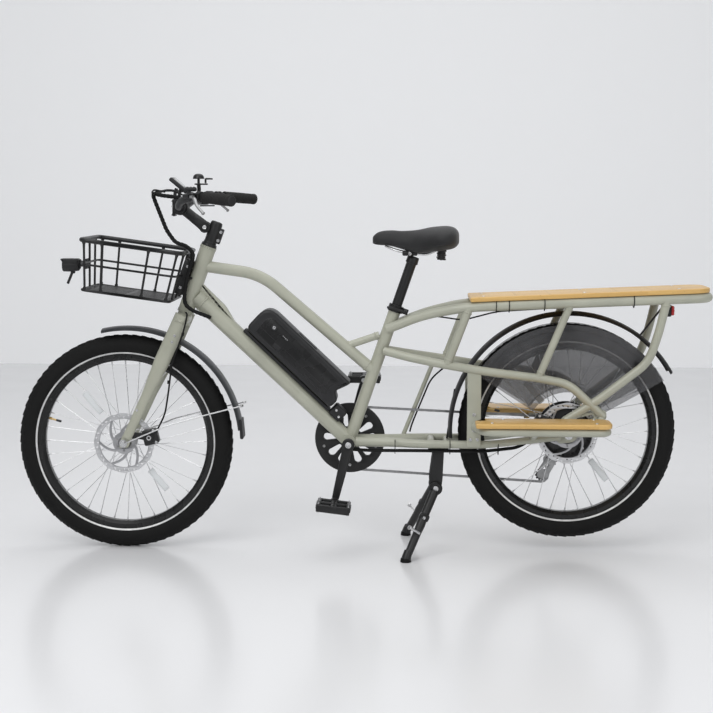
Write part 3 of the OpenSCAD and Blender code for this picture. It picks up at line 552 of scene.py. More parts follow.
def round_copies(bm, centre, count, build):
    """Builds once and repeats it round a sideways axis"""
    old = set(bm.faces)
    build()
    faces = [f for f in bm.faces if f not in old]
    bmesh.ops.spin(bm, geom=faces, cent=centre, axis=(0, 1, 0), angle=2 * pi * (count - 1) / count,
        steps=count - 1,
        use_duplicate=True)


def piece(name, bm, finishes, body, stands_for=(), sharp=34, merge=0.01):
    """Makes the finished mesh an object in the frame's place, riding on its body"""
    if merge:
        bmesh.ops.remove_doubles(bm, verts=bm.verts, dist=merge)
    bmesh.ops.recalc_face_normals(bm, faces=bm.faces)
    bmesh.ops.transform(bm, matrix=TO_ROW, verts=bm.verts)
    mesh = bpy.data.meshes.new(name)
    bm.to_mesh(mesh)
    bm.free()
    for f in finishes.split():
        mesh.materials.append(finish(f))
    mesh.shade_smooth()
    mesh.set_sharp_from_angle(angle=radians(sharp))
    obj = bpy.data.objects.new(name, mesh)
    bpy.context.scene.collection.objects.link(obj)
    if body:
        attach(obj, body)
    if stands_for:
        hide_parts(*stands_for)
    return obj


def hose(name, points, reach, radius, finish_name, body, stands_for=(), wrap=0.0, up=(0, 1, 0)):
    """A cable of one real length that leaves one part of the bicycle and goes back into another"""
    bm = bmesh.new()
    path = even_points(softened(points, reach, 8), 4.0, closed=False) + [Vector(points[-1])]
    sweep(bm, path, lambda t: radius + wrap * sin(2 * pi * t * len(path) / 3), 14, up=up)
    obj = piece(name, bm, finish_name, body, stands_for, merge=0)
    route = [TO_ROW @ p for p in path]
    length = sum((b - a).length for a, b in zip(route, route[1:]))
    return obj


def dress(node, name):
    """Gives a CAD node that stays its finish"""
    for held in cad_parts[node].material_slots:
        held.material = finish(name)


def weld(bm, place, way, r, thick=2.0, flat=1.0):
    """A smooth weld bead round the end of a tube"""
    way = Vector(way).normalized()
    pose = Matrix.Translation(place) @ way.to_track_quat("Z", "Y").to_matrix().to_4x4()
    path = [pose @ Vector((r * flat * cos(a), r * sin(a), 0)) for a in (2 * pi * k / 40 for k in range(41))]
    sweep(bm, path, thick, 8, up=way)


# ---- frame -------------------------------------------------------------------------------------------------


def build_main_tubes():
    bm = bmesh.new()
    top = softened([(230, 0, 840), (404, 0, 816), (735, 0, 533)], 60, 10)
    sweep(bm, top, 17, 28)
    sweep(bm, [vec(650, 0, 604), vec(752, 0, 639)], 11, 24)
    down = [vec(214, 0, 749), vec(655, 0, 332)]
    sweep(bm, [down[0].lerp(down[1], k / 8) for k in range(9)], lambda t: 26 - 4 * t, 32)
    slab(bm, outline_path([(222, 798, 6), (300, 722, 10), (345, 644, 4), (300, 690, 20), (216, 745, 2)]), 20,
        UPRIGHT, 5)
    weld(bm, vec(243, 0, 838.5), (1, 0, -0.14), 17.2, 2.4)
    weld(bm, vec(233, 0, 731), (0.727, 0, -0.687), 26, 2.6)
    weld(bm, vec(716, 0, 549), (0.76, 0, -0.65), 17, 2.2)
    weld(bm, vec(664, 0, 609), (0.94, 0, 0.34), 11.2, 2)
    weld(bm, vec(742, 0, 635.6), (0.94, 0, 0.34), 11.2, 2)
    piece("main_tubes", bm, "sage", "frame", ("top_tube", "down_tube"))

    bm = bmesh.new()
    for z, h in ((13, 9), (212, 9)):
        profile = [(15, z), (23, z), (24.5, z + 1.5), (24.5, z + h - 1.5), (23, z + h), (15, z + h)]
        verts = [bm.verts.new((r, 0, y)) for r, y in profile]
        edges = [bm.edges.new((a, b)) for a, b in zip(verts, verts[1:] + verts[:1])]
        bmesh.ops.spin(bm, geom=verts + edges, cent=(0, 0, 0), axis=(0, 0, 1), angle=2 * pi, steps=48,
            use_merge=True)
    bmesh.ops.transform(bm, matrix=STEER, verts=bm.verts)
    piece("headset_cups", bm, "black", "frame")
    dress("head_tube", "sage")
    dress("seat_tube", "sage")


def build_rear_frame():
    bm = bmesh.new()
    stay = [(684, -26, 325), (778, -29, 325), (880, -60, 325), (1060, -67, 325), (1280, -76, 352)]

    def side():
        sweep(bm, softened(stay, 45, 8), lambda t: 14.5 * (1 - 0.27 * t), 24)
        outline = outline_path([(1272, 332, 9), (1322, 336, 18), (1338, 372, 14), (1412, 404, 10),
            (1410, 432, 12),
            (1370, 424, 16), (1290, 416, 14), (1270, 390, 12)])
        cut_plate(bm, [outline, [q + Vector((1302.5, 358.5)) for q in ring_path(7.4, 28)],
            outline_path([(1318, 384, 5), (1376, 408, 5), (1372, 418, 4), (1312, 404, 5)], 4)], 6,
            Matrix.Translation((0, -73, 0)) @ UPRIGHT, 0.8)
        weld(bm, vec(1270, -74.5, 350.5), (0.99, 0, 0.12), 10.8, 1.8)
    both_sides(bm, side)
    for x, r in ((905, 11), (950, 8)):
        sweep(bm, [vec(x, -58, 325), vec(x, 58, 325)], r, 24)
        for s in (-1, 1):
            weld(bm, vec(x, s * 46, 325), (0, 1, 0), r, 1.8)
    piece("chain_stays", bm, "sage", "frame", ("chainstays",))

    bm = bmesh.new()
    half = [(775, -19, 658), (880, -42, 702), (1000, -84, 728), (1110, -90, 733)]
    rail = half + [(1698, -88, 758.4), (1698, 88, 758.4)] + [(x, -y, z) for x, y, z in half[::-1]]
    sweep(bm, softened(rail, 48, 10), 14, 28)
    for x in (1060, 1330, 1585):
        z = 743 + (x - 1014) * 0.04296 - 10
        sweep(bm, [vec(x, -86, z), vec(x, 86, z)], 8, 20)
        for s in (-1, 1):
            weld(bm, vec(x, s * 75, z), (0, 1, 0), 8, 1.6)
    piece("upper_rail_loop", bm, "sage", "frame", ("upper_rails",))

    bm = bmesh.new()
    rail = [(768, -22, 594), (835, -56, 580), (940, -84, 562), (1060, -88, 543), (1210, -88, 525),
        (1300, -86, 508),
        (1402, -77, 412)]
    strut = [(1574, -89, 750), (1552, -88, 651), (1526, -86, 572), (1385, -80, 460), (1292, -77, 400)]

    def side():
        sweep(bm, softened(rail, 34, 8), 12.5, 24)
        sweep(bm, softened(strut, 36, 8), 12.5, 24)
        sweep(bm, [vec(1010, -84, 724), vec(950, -85, 565)], 12.5, 24)
        sweep(bm, [vec(1301, -88, 738), vec(1214, -88, 530)], 11, 24)
        weld(bm, vec(1006, -84, 713), (0.37, 0, 0.93), 12.5)
        weld(bm, vec(954, -85, 576), (0.37, 0, 0.93), 12.5)
        weld(bm, vec(1295, -88, 724), (0.39, 0, 0.92), 11)
        weld(bm, vec(1219, -88, 541), (0.39, 0, 0.92), 11)
        weld(bm, vec(1571, -89, 736), (0.2, 0, 0.98), 12.5)
    both_sides(bm, side)
    sweep(bm, [vec(914, 84, 555), vec(823, 57.8, 331)], 6.5, 20)
    piece("side_tubes", bm, "sage", "frame", ("mid_rails", "rack_struts"))

    bm = bmesh.new()

    def side():
        cut_plate(bm, [outline_path([(1008, 322, 6), (1048, 322, 6), (1048, 548, 6), (1008, 548, 6)], 4)], 13,
            Matrix.Translation((0, -85.5, 0)) @ UPRIGHT, 2)
        loop = [(1030, -88, 383), (1052, -198, 383), (1402, -198, 383), (1404, -106, 383), (1394, -80, 406)]
        sweep(bm, softened(loop, 32, 8), 11, 24)
        sweep(bm, [vec(1200, -194, 383), vec(1200, -72, 347)], 9, 20)
        weld(bm, vec(1033, -93, 383), (0.2, -1, 0), 11.5, 1.8)
    both_sides(bm, side)
    piece("footboard_carriers", bm, "sage", "frame", ("footboard_frames",))

    bm = bmesh.new()
    for s in (-1, 1):
        for x, z in ((1018, 345), (1038, 345), (1028, 372), (1028, 418)):
            bolt(bm, (x, s * 92, z), (0, s, 0), 5, 4)
        bolt(bm, (1302.5, s * 91, 358.5), (0, s, 0), 6, 1)
        for x, z in ((1384, 415), (1338, 398)):
            bolt(bm, (x, s * 76, z), (0, s, 0), 4.5, 4)
    piece("frame_bolts", bm, "steel", "frame")


def build_boards():
    bm = bmesh.new()
    outline = outline_path([(0, -100, 5), (690, -100, 58), (690, 100, 58), (0, 100, 5)], 12)
    slab(bm, outline, 13.6, DECK @ Matrix.Translation((0, 0, 7.2)), 3.5)
    piece("bamboo_deck", bm, "bamboo", "frame", ("deck_board",))
    bm = bmesh.new()
    outline = outline_path([(0, -56, 4), (385, -56, 34), (385, 56, 34), (26, 56, 4), (26, 14, 3),
        (0, 14, 3)], 10)

    def side():
        slab(bm, outline, 13.6, Matrix.Translation((1029, -157, 402)), 3.5)
    both_sides(bm, side)
    piece("bamboo_footboards", bm, "bamboo", "frame", ("footboards",))
    bm = bmesh.new()
    for x in (40, 330, 600):
        for y in (-62, 62):
            round_bar(bm, DECK @ Vector((x, y, 12)), DECK @ Vector((x, y, 15)), 6, 4.5, 20)

    def side():
        for x, y in ((1075, -190), (1370, -190), (1110, -118), (1370, -118)):
            round_bar(bm, (x, y, 408), (x, y, 410.2), 5.5, 4, 20)
    both_sides(bm, side)
    piece("board_screws", bm, "steel", "frame")


# ---- mudguards, guards and lights --------------------------------------------------------------------------


def arched(bm, centre, r, half, a0, a1, crown=7.0, steps=56, index=0):
    """A curved mudguard with rolled edges, from angle a0 to a1 in degrees"""
    profile = [(r - 11, -half), (r - 9.4, -half + 1.2), (r - crown * 0.75, -half * 0.84),
        (r - crown * 0.28, -half * 0.5),
        (r, 0), (r - crown * 0.28, half * 0.5), (r - crown * 0.75, half * 0.84), (r - 9.4, half - 1.2),
        (r - 11, half)]
    old = set(bm.faces)
    centre = Vector(centre)
    start = Matrix.Rotation(-radians(a0), 3, "Y")
    verts = [bm.verts.new(centre + start @ Vector((q, y, 0))) for q, y in profile]
    edges = [bm.edges.new(pair) for pair in zip(verts, verts[1:])]
    bmesh.ops.spin(bm, geom=verts + edges, cent=centre, axis=(0, 1, 0), angle=-radians(a1 - a0), steps=steps)
    new = [f for f in bm.faces if f not in old]
    bmesh.ops.recalc_face_normals(bm, faces=new)
    bmesh.ops.solidify(bm, geom=new, thickness=2.0)
    paint(bm, old, index)


def build_mudguards():
    bm = bmesh.new()
    arched(bm, (10, 0, 322), 341, 39, 6, 103)
    block(bm, (22, 22, 34), Matrix.Translation((161, 0, 646)), 3, 1)
    for a in (8.5, 101.5):
        edge = [Vector((10 + 333 * cos(radians(a)), y, 322 + 333 * sin(radians(a)))) for y in (-34, 34)]
        sweep(bm, [edge[0], edge[0].lerp(edge[1], 0.5) + Vector((6 * cos(radians(a)), 0,
            6 * sin(radians(a)))), edge[1]], 2, 8, up=(1, 0, 0))
    flap = outline_path([(342, 330, 4), (352, 330, 4), (347, 388, 3), (340, 388, 3)], 4)
    slab(bm, flap, 62, UPRIGHT, 1.5, 1)
    wire = [(350, -41, 431), (238, -60, 404), (132, -73, 375), (20, -76, 328), (4, -70, 319)]
    both_sides(bm, lambda: (sweep(bm, softened(wire, 14, 5), 2, 10, index=2),
        round_bar(bm, (352, -42, 432), (344, -36, 430), 4, sides=16, soft=0.6, index=2)))
    piece("front_mudguard", bm, "grey_plastic plastic steel", "steering", ("front_fender",))

    bm = bmesh.new()
    arched(bm, (1306, 0, 362), 351, 37, 30, 184, steps=80)
    for a, b, r in (((1585, 0, 735), (1515, 0, 643), 3), ((975, 0, 480), (952, 0, 328), 3)):
        round_bar(bm, a, b, r, sides=14)
    piece("rear_mudguard", bm, "plastic", "frame", ("rear_fender",))

    bm = bmesh.new()

    def side():
        outer = [Vector((317 * cos(radians(a)), 317 * sin(radians(a))))
            for a in (29.5 + 118 * k / 60 for k in range(61))]
        inner = [Vector((120 * cos(radians(a)), 120 * sin(radians(a))))
            for a in (147.5 - 118 * k / 40 for k in range(41))]
        cut_plate(bm, [outer + inner], 2, Matrix.Translation((1302.5, -47, 358.5)) @ UPRIGHT, 0.4)
        for r in (300, 140):
            rib = [vec(1302.5 + r * cos(radians(a)), -48.4, 358.5 + r * sin(radians(a)))
                for a in (31 + 115 * k / 50 for k in range(51))]
            sweep(bm, rib, 1.4, 6)
    both_sides(bm, side)
    piece("skirt_guard_sheets", bm, "smoke", "frame", ("skirt_guards",))
    bm = bmesh.new()

    def side():
        for x, z in ((1120, 538), (1260, 520), (1500, 562)):
            round_bar(bm, (x, -78, z), (x, -48.6, z), 4, sides=16)
            round_bar(bm, (x, -48.6, z), (x, -51.5, z), 9, 8, 24, 0.6)
    both_sides(bm, side)
    piece("guard_stubs", bm, "plastic", "frame")


def build_lights():
    bm = bmesh.new()
    bm_axis = Matrix.Translation((-181, 0, 841)) @ Matrix.Rotation(-pi / 2, 4, "Z")
    turned(bm, [(15, 0), (18.5, 0.5), (19.5, 4), (20, 30), (17, 47), (10, 52), (0.001, 53)],
        Vector((0, 0, 0)), 48, 0, closed=False)
    turned(bm, [(15, 0), (15.5, 3), (0.001, 3.4)], Vector((0, 0, 0)), 48, 1, closed=False)
    turned(bm, [(15.2, 0.4), (9, -1.6), (0.001, -2.2)], Vector((0, 0, 0)), 48, 1, closed=False)
    bmesh.ops.transform(bm, matrix=bm_axis, verts=bm.verts)
    block(bm, (50, 38, 3.4), Matrix.Translation((-160, 0, 858.2)), 1.4, 0)
    for s in (-1, 1):
        block(bm, (42, 2.6, 14), Matrix.Translation((-156, s * 18.4, 852)), 1.0, 0)
    slab(bm, outline_path([(-186, 858, 2), (-128, 858, 4), (-128, 836, 8), (-150, 826, 10),
        (-172, 832, 8)]), 27, UPRIGHT, 4)
    round_bar(bm, (-152, 0, 824), (-168, 0, 786), 4, sides=16, soft=1)
    block(bm, (12, 14, 12), Matrix.Translation((-152, 0, 822)), 2, 0)
    round_bar(bm, (-130, 0, 845), (-112, 0, 845), 9, sides=24)
    block(bm, (5, 60, 30), Matrix.Translation((-110.5, 0, 845)), 1.5, 0)
    for y in (-22, 22):
        bolt(bm, (-113, y, 845), (-1, 0, 0), 4, 3, 2)
    piece("headlight_body", bm, "plastic clear steel", "frame", ("headlight",))

    bm = bmesh.new()
    block(bm, (15, 64, 34), Matrix.Translation((1591.5, 0, 716)), 4, 0)
    block(bm, (10, 20, 34), Matrix.Translation((1586, 0, 741)), 2, 0)
    block(bm, (10, 58, 28), Matrix.Translation((1602.8, 0, 716)), 4.2, 1)
    block(bm, (3, 50, 4), Matrix.Translation((1607.2, 0, 716)), 1.2, 1)
    piece("tail_lamp", bm, "plastic red", "frame", ("tail_light",))


# ---- battery -----------------------------------------------------------------------------------------------


def build_battery():
    side = PACK @ UPRIGHT
    bm = bmesh.new()
    corners = [(0, 5, 22), (0, 101, 42), (336, 101, 12), (317, 52, 10), (341, 37, 8), (341, 5, 16)]
    slab(bm, outline_path(corners, 8), 86, side, 9, 0, 5)
    slab(bm, outline_path([(28, 18, 10), (26, 84, 22), (308, 84, 10), (296, 52, 12), (306, 22, 10)], 7),
        87.6, side, 1.4, 1, 2)
    block(bm, (300, 88.2, 1.4), PACK @ Matrix.Translation((166, 0, 40)), 0.4, 0)
    for s in (-1, 1):
        block(bm, (64, 3, 5), PACK @ Matrix.Translation((250, s * 43.6, 26)), 1, 2)
    round_bar(bm, PACK @ Vector((60, -42, 66)), PACK @ Vector((60, -45.4, 66)), 10, 9, 32, 0.8, 2)
    round_bar(bm, PACK @ Vector((60, -45, 66)), PACK @ Vector((60, -46, 66)), 5.2, 4.6, 24, 0.3, 3)
    block(bm, (1.4, 1.4, 6), PACK @ Matrix.Translation((60, -46.1, 66)), 0.2, 2)
    block(bm, (26, 3, 14), PACK @ Matrix.Translation((104, -43.6, 30)), 1.4, 2)
    for k in range(4):
        block(bm, (3, 1.2, 2), PACK @ Matrix.Translation((96 + 5.4 * k, -45.1, 66)), 0.3, 3)
    block(bm, (70, 40, 6), PACK @ Matrix.Translation((160, 0, 100)), 2.4, 2)
    piece("battery_pack", bm, "case gloss plastic steel", "battery", ("battery",))

    bm = bmesh.new()
    block(bm, (345, 38, 11), PACK @ Matrix.Translation((172.5, 0, -3.4)), 3, 0)
    block(bm, (43, 48, 39), PACK @ Matrix.Translation((368, 0, 8)), 7, 0, 4)
    round_bar(bm, PACK @ Vector((388, 0, 4)), PACK @ Vector((398, 0, -6)), 6, 5, 20, 1, 0)
    for s in (-1, 1):
        bolt(bm, PACK @ Vector((360, s * 24, 12)), (0, s, 0), 3.6, 1.6, 1)
        bolt(bm, PACK @ Vector((378, s * 24, 2)), (0, s, 0), 3.6, 1.6, 1)
    piece("battery_mount", bm, "plastic steel", "frame", ("battery_cradle",))


# ---- saddle and post ---------------------------------------------------------------------------------------


def build_saddle():
    """A lofted cushion: rings along its length, then the top crowned and its middle channel pressed in"""
    bm = bmesh.new()
    stations = [(731, 5, 916, 8), (736, 15, 915, 17), (752, 22, 918, 24), (785, 28, 916, 30),
        (815, 35, 910, 37),
        (845, 47, 906, 42), (872, 66, 908, 43), (900, 87, 915, 41), (926, 102, 919, 39), (950, 102, 921, 37),
        (968, 87, 921, 33), (978, 62, 921, 25), (983, 28, 920, 15)]
    sized = [Matrix.Translation((x, 0, z)) @ Matrix.Rotation(pi / 2, 4, "Y") @ Matrix.Diagonal((h, w, 1, 1))
        for x, w, z, h in stations]
    start = bmesh.ops.create_circle(bm, segments=40, radius=1, matrix=sized[0])["verts"]
    ring = first = list({e for v in start for e in v.link_edges})
    for here, there in zip(sized, sized[1:]):
        grown = bmesh.ops.extrude_edge_only(bm, edges=ring)["geom"]
        verts = {g for g in grown if isinstance(g, bmesh.types.BMVert)}
        bmesh.ops.transform(bm, matrix=there @ here.inverted(), verts=list(verts))
        ring = [g for g in grown if isinstance(g, bmesh.types.BMEdge) and set(g.verts) <= verts]
    for loop in (first, ring):
        bmesh.ops.edgeloop_fill(bm, edges=loop)
    bmesh.ops.subdivide_edges(bm, edges=[e for e in bm.edges if abs(e.verts[0].co.x - e.verts[1].co.x) > 3],
        cuts=2, smooth=0.6)
    for v in bm.verts:
        x, y, z = v.co
        rise = z - 917
        if rise < 0:
            v.co.z = 917 + rise * (0.5 + 0.5 * min(1, abs(y) / 60))
        channel = max(0, 1 - (y / 13) ** 2) * max(0, min(1, (x - 790) / 40)) * max(0, min(1, (968 - x) / 30))
        if rise > 8:
            v.co.z -= 6 * channel
            v.co.z += 5 * max(0, (x - 900) / 80) * min(1, abs(y) / 50)
    cushion = piece("saddle_cushion", bm, "saddle", "saddle", ("saddle",), 60)
    smoother = cushion.modifiers.new("Softness", "SUBSURF")
    smoother.levels = smoother.render_levels = 1

    bm = bmesh.new()
    seam = [(732, 0, 909), (743, -16, 905), (800, -27, 903), (845, -41, 899), (890, -76, 901),
        (926, -99, 906),
        (955, -97, 910), (974, -66, 913), (981, 0, 915)]
    both_sides(bm, lambda: sweep(bm, softened(seam, 12, 5), 1.5, 8, up=(0, 0, 1)))
    piece("saddle_piping", bm, "plastic", "saddle")

    bm = bmesh.new()
    rail = [(768, -5, 900), (800, -20, 887), (838, -23, 880), (890, -23, 876), (936, -34, 898)]
    both_sides(bm, lambda: sweep(bm, softened(rail, 12, 5), 3.6, 12, index=1))
    post = [SEAT @ Vector((0, 0, z)) for z in (250, 420, 564)]
    sweep(bm, post, 15, 32)
    round_bar(bm, SEAT @ Vector((0, 0, 555)), SEAT @ Vector((0, 0, 577)), 18.5, 17, 32, 3)
    block(bm, (44, 58, 14), Matrix.Translation((840, 0, 879.5)), 4)
    for s in (-1, 1):
        round_bar(bm, (840, s * 26, 879), (840, s * 34, 879), 9, 8, 24, 1.4)
        bolt(bm, (840, s * 34, 879), (0, s, 0), 5, 3, 1)
        spring = Vector((931, s * 46, 876))
        for k in range(5):
            round_bar(bm, spring + Vector((0.4 * k, 0, -14 + 6 * k)),
                spring + Vector((0.4 * k + 0.4, 0, -9 + 6 * k)), 13 - 1.6 * (k % 2), sides=24, soft=1.2)
        round_bar(bm, spring + Vector((-1, 0, -14)), spring + Vector((2, 0, 16)), 9, sides=20)
    round_bar(bm, (930, -57, 866), (930, 57, 866), 5, sides=16, soft=1)
    piece("seat_post", bm, "black steel", "saddle", ("seatpost",))

    bm = bmesh.new()
    round_bar(bm, SEAT @ Vector((30, 15, 416)), SEAT @ Vector((30, -30, 416)), 3, sides=16)
    round_bar(bm, SEAT @ Vector((30, -9.2, 416)), SEAT @ Vector((30, -29, 416)), 6, sides=24, soft=1)
    round_bar(bm, SEAT @ Vector((30, 9.2, 416)), SEAT @ Vector((30, 15, 416)), 6, sides=24, soft=1)
    sweep(bm, [SEAT @ Vector(p) for p in ((32, -27, 416), (10, -27.5, 416.5), (-12, -27, 415),
        (-25, -25.5, 413))], lambda t: 4.4 - t, 16, flat=0.6)
    piece("seat_quick_release", bm, "black", "clamp_lever", ("seat_clamp_lever",))
    dress("seat_clamp", "black")


# ---- basket ------------------------------------------------------------------------------------------------


def basket_spot(u, v, s):
    return BASKET @ Vector((255 * u + v * (-17 + 38 * u), s * (118 + 16 * v), 143 * v))


def basket_hoop(v, reach):
    corners = [basket_spot(0.5, v, -1), basket_spot(0, v, -1), basket_spot(0, v, 1), basket_spot(1, v, 1),
        basket_spot(1, v, -1), basket_spot(0.5, v, -1)]
    return softened(corners, reach, 7)


def build_basket():
    bm = bmesh.new()
    sweep(bm, basket_hoop(1, 26), 6.5, 16)
    sweep(bm, basket_hoop(0.52, 22), 3.2, 10)
    sweep(bm, basket_hoop(0.0, 18), 4.2, 12)
    for s in (-1, 1):
        for u in (0.04, 0.22, 0.68, 0.96):
            foot, head = basket_spot(u, 0, s), basket_spot(u, 1, s)
            sweep(bm, [foot.lerp(head, k / 12) for k in range(13)],
                lambda t: 3.4 + 4 * max(0, t * 8 - 7) ** 2, 12)
            for v, r in ((0.52, 5), (0.04, 5.6)):
                joint = foot.lerp(head, v)
                block(bm, (r * 1.7, 5.2, r * 1.5), Matrix.Translation(joint), 1.8)
    for u in (0, 1):
        for w in (-0.6, 0, 0.6):
            foot, head = basket_spot(u, 0, 1), basket_spot(u, 1, 1)
            foot.y, head.y = foot.y * w, head.y * w
            sweep(bm, [foot.lerp(head, k / 12) for k in range(13)],
                lambda t: 3.4 + 4 * max(0, t * 8 - 7) ** 2, 12)
            for v in (0.52, 0.05):
                block(bm, (5.2, 9, 8), Matrix.Translation(foot.lerp(head, v)), 1.8)
    for y in range(-100, 101, 20):
        block(bm, (246, 11, 3.4), BASKET @ Matrix.Translation((128, y, 0)), 1.2)
    for x in (24, 128, 232):
        block(bm, (14, 226, 3.6), BASKET @ Matrix.Translation((x, 0, -0.4)), 1.2)
    for s in (-1, 1):
        arm = [STEER @ Vector(p) for p in ((-10, s * 17, 118), (-38, s * 17, 108), (-52, s * 17, 95))]
        sweep(bm, softened(arm, 8, 4), 4, 10)
    block(bm, (28, 46, 108), STEER @ Matrix.Translation((-37, 0, 112)), 6)
    for z in (80, 145):
        for s in (-1, 1):
            bolt(bm, STEER @ Vector((-36, s * 22, z)), (0, s, 0), 4.4, 3, 1)
    piece("wire_basket", bm, "black steel", "frame", ("basket",))


# ---- brakes ------------------------------------------------------------------------------------------------


def caliper_shape(bm, centre, y, angle):
    pose = Matrix.Translation((centre.x, y, centre.z)) @ Matrix.Rotation(-radians(angle), 4, "Y")
    block(bm, (42, 17, 46), pose @ Matrix.Translation((82, -10.6, 0)), 5, 0, 4)
    block(bm, (42, 9.4, 44), pose @ Matrix.Translation((82, 6.9, 0)), 3.4, 0, 4)
    block(bm, (9, 26, 40), pose @ Matrix.Translation((101.5, -4, 0)), 3, 0, 3)
    round_bar(bm, pose @ Vector((80, -17, 0)), pose @ Vector((80, -25.6, 0)), 14, 12.5, 32, 2)
    bolt(bm, pose @ Vector((80, -25, 0)), (0, -1, 0), 7, 1, 1)
    for z in (-18, 18):
        bolt(bm, pose @ Vector((97, -18, z)), (0, -1, 0), 4, 3.4, 1)
    for x in (66, 96):
        block(bm, (3, 2, 12), pose @ Matrix.Translation((x, -2.2, 0)), 0.5, 1)


def build_brakes():
    bm = bmesh.new()
    caliper_shape(bm, FRONT, -42, 14)
    cut_plate(bm, [outline_path([(20, 336, 6), (92, 328, 8), (94, 348, 8), (28, 354, 6)])], 5,
        Matrix.Translation((0, -59.5, 0)) @ UPRIGHT, 0.8)
    for p in ((147, -80, 552), (140, -80, 505), (183, -81, 646)):
        round_bar(bm, Vector(p) + Vector((0, 0, -5)), Vector(p) + Vector((1, 0, 5)), 4.2, sides=14,
            soft=0.8, index=2)
    piece("front_brake", bm, "black steel hose", "steering", ("front_caliper",))
    hose("front_brake_hose", [(186.8, -40, 705), (196, -70, 702), (186, -81, 655), (150, -80, 560),
        (140, -80, 480),
        (128, -76, 410), (100, -66, 356)], 22, 2.6, "hose", "steering")
    bm = bmesh.new()
    caliper_shape(bm, REAR, -49, 158)
    cut_plate(bm, [outline_path([(1214, 364, 6), (1266, 342, 6), (1272, 356, 6), (1222, 384, 6)])], 5,
        Matrix.Translation((0, -70.5, 0)) @ UPRIGHT, 0.8)
    piece("rear_brake", bm, "black steel", "frame", ("rear_caliper",))


def disc_outlines(hub_r, inner):
    """A brake disc's outlines: a wavy rim, windows between leaning arms, and slots and holes in the
    braking ring"""
    outlines = [ring_path(89, 240, 0.8, 12), ring_path(hub_r, 40)]
    for k in range(6):
        a0, a1, window = 2 * pi * k / 6, 2 * pi * (k + 1) / 6, []
        for j in range(13):
            r = 72.5
            a = a0 + 5.2 / r + (a1 - a0 - 10.4 / r) * j / 12
            window.append(Vector((r * cos(a), r * sin(a))))
        for j in range(1, 9):
            r = 72.5 - (72.5 - inner) * j / 8
            a = a1 - 5.2 / r + 0.75 * (j / 8) ** 1.2
            window.append(Vector((r * cos(a), r * sin(a))))
        for j in range(1, 6):
            r = inner
            a = a1 - 5.2 / r + 0.75 + (a0 - a1 + 10.4 / r) * j / 5
            window.append(Vector((r * cos(a), r * sin(a))))
        for j in range(7, 0, -1):
            r = 72.5 - (72.5 - inner) * j / 8
            a = a0 + 5.2 / r + 0.75 * (j / 8) ** 1.2
            window.append(Vector((r * cos(a), r * sin(a))))
        outlines.append(window)
    for k in range(36):
        a, r = 2 * pi * k / 36, (79, 82.5, 85)[k % 3] - 1.2
        middle = Vector((r * cos(a), r * sin(a)))
        along = Vector((cos(a + 0.9), sin(a + 0.9)))
        across = Vector((-along.y, along.x))
        reach = 4.2 if k % 3 == 1 else 2.2
        outlines.append([middle + along * reach * cos(t) + across * 1.9 * sin(t)
            for t in (2 * pi * j / 14 for j in range(14))])
    return outlines


def build_discs():
    for centre, y, hub_r, inner, look, body, node in ((FRONT, -42, 17, 33, "front_disc", "front_wheel",
            "front_rotor"),
            (REAR, -49, 31, 44, "rear_disc", "rear_wheel", "rear_rotor")):
        bm = bmesh.new()
        cut_plate(bm, disc_outlines(hub_r, inner), 2, Matrix.Translation((centre.x, y, centre.z)) @ UPRIGHT,
            0.25)
        carrier = hub_r + 6
        for k in range(6):
            a = 2 * pi * (k + 0.5) / 6
            bolt(bm, (centre.x + carrier * cos(a), y - 1, centre.z + carrier * sin(a)), (0, -1, 0), 3.2,
                2.2, 1)
        piece(body + "_disc", bm, look + " dull", body, (node,))


# ---- drive -------------------------------------------------------------------------------------------------


def toothed(r_root, r_tip, teeth):
    out = []
    for k in range(teeth):
        for j, r in enumerate((r_root, r_root, r_tip, r_tip)):
            a = 2 * pi * (k + (0.0, 0.34, 0.52, 0.82)[j]) / teeth
            out.append(Vector((r * cos(a), r * sin(a))))
    return out


def chain_line():
    """The endless line that the chain's pins follow, in X and Z, with its sideways place"""
    rf, rr, rp = 94.6, 29.6, 21.6
    bearing = lambda a, b: atan2(b.z - a.z, b.x - a.x)
    span = lambda a, b: (b - a).length
    upper = bearing(BOTTOM, REAR) - asin((rf - rr) / span(BOTTOM, REAR)) + pi / 2
    lower = bearing(BOTTOM, TENSION) + asin((rf - rp) / span(BOTTOM, TENSION)) - pi / 2
    low = bearing(TENSION, GUIDE) + asin(2 * rp / span(TENSION, GUIDE))
    high = bearing(GUIDE, REAR) - asin((rp + rr) / span(GUIDE, REAR))
    points = []
    for c, r, a0, a1, n in ((BOTTOM, rf, upper, lower + 2 * pi, 60), (TENSION, rp, lower, low - pi / 2, 20),
            (GUIDE, rp, low + pi / 2, high + pi / 2, 14), (REAR, rr, high - pi / 2, upper, 30)):
        points += [Vector((c.x + r * cos(a0 + (a1 - a0) * k / n), 0,
            c.z + r * sin(a0 + (a1 - a0) * k / n))) for k in range(n + 1)]
    for p in points:
        p.y = 52 + 12 * min(1, max(0, (p.x - 760) / 440))
    return points


def even_points(path, pitch, closed=True):
    """Points evenly spaced along a path, about pitch apart"""
    loop = path + path[:1] if closed else path
    lengths = [0.0]
    for a, b in zip(loop, loop[1:]):
        lengths.append(lengths[-1] + (b - a).length)
    count = max(2, round(lengths[-1] / pitch / 2) * 2)
    out, i = [], 0
    for k in range(count):
        want = lengths[-1] * k / count
        while lengths[i + 1] < want:
            i += 1
        out.append(loop[i].lerp(loop[i + 1], (want - lengths[i]) / max(1e-6, lengths[i + 1] - lengths[i])))
    return out


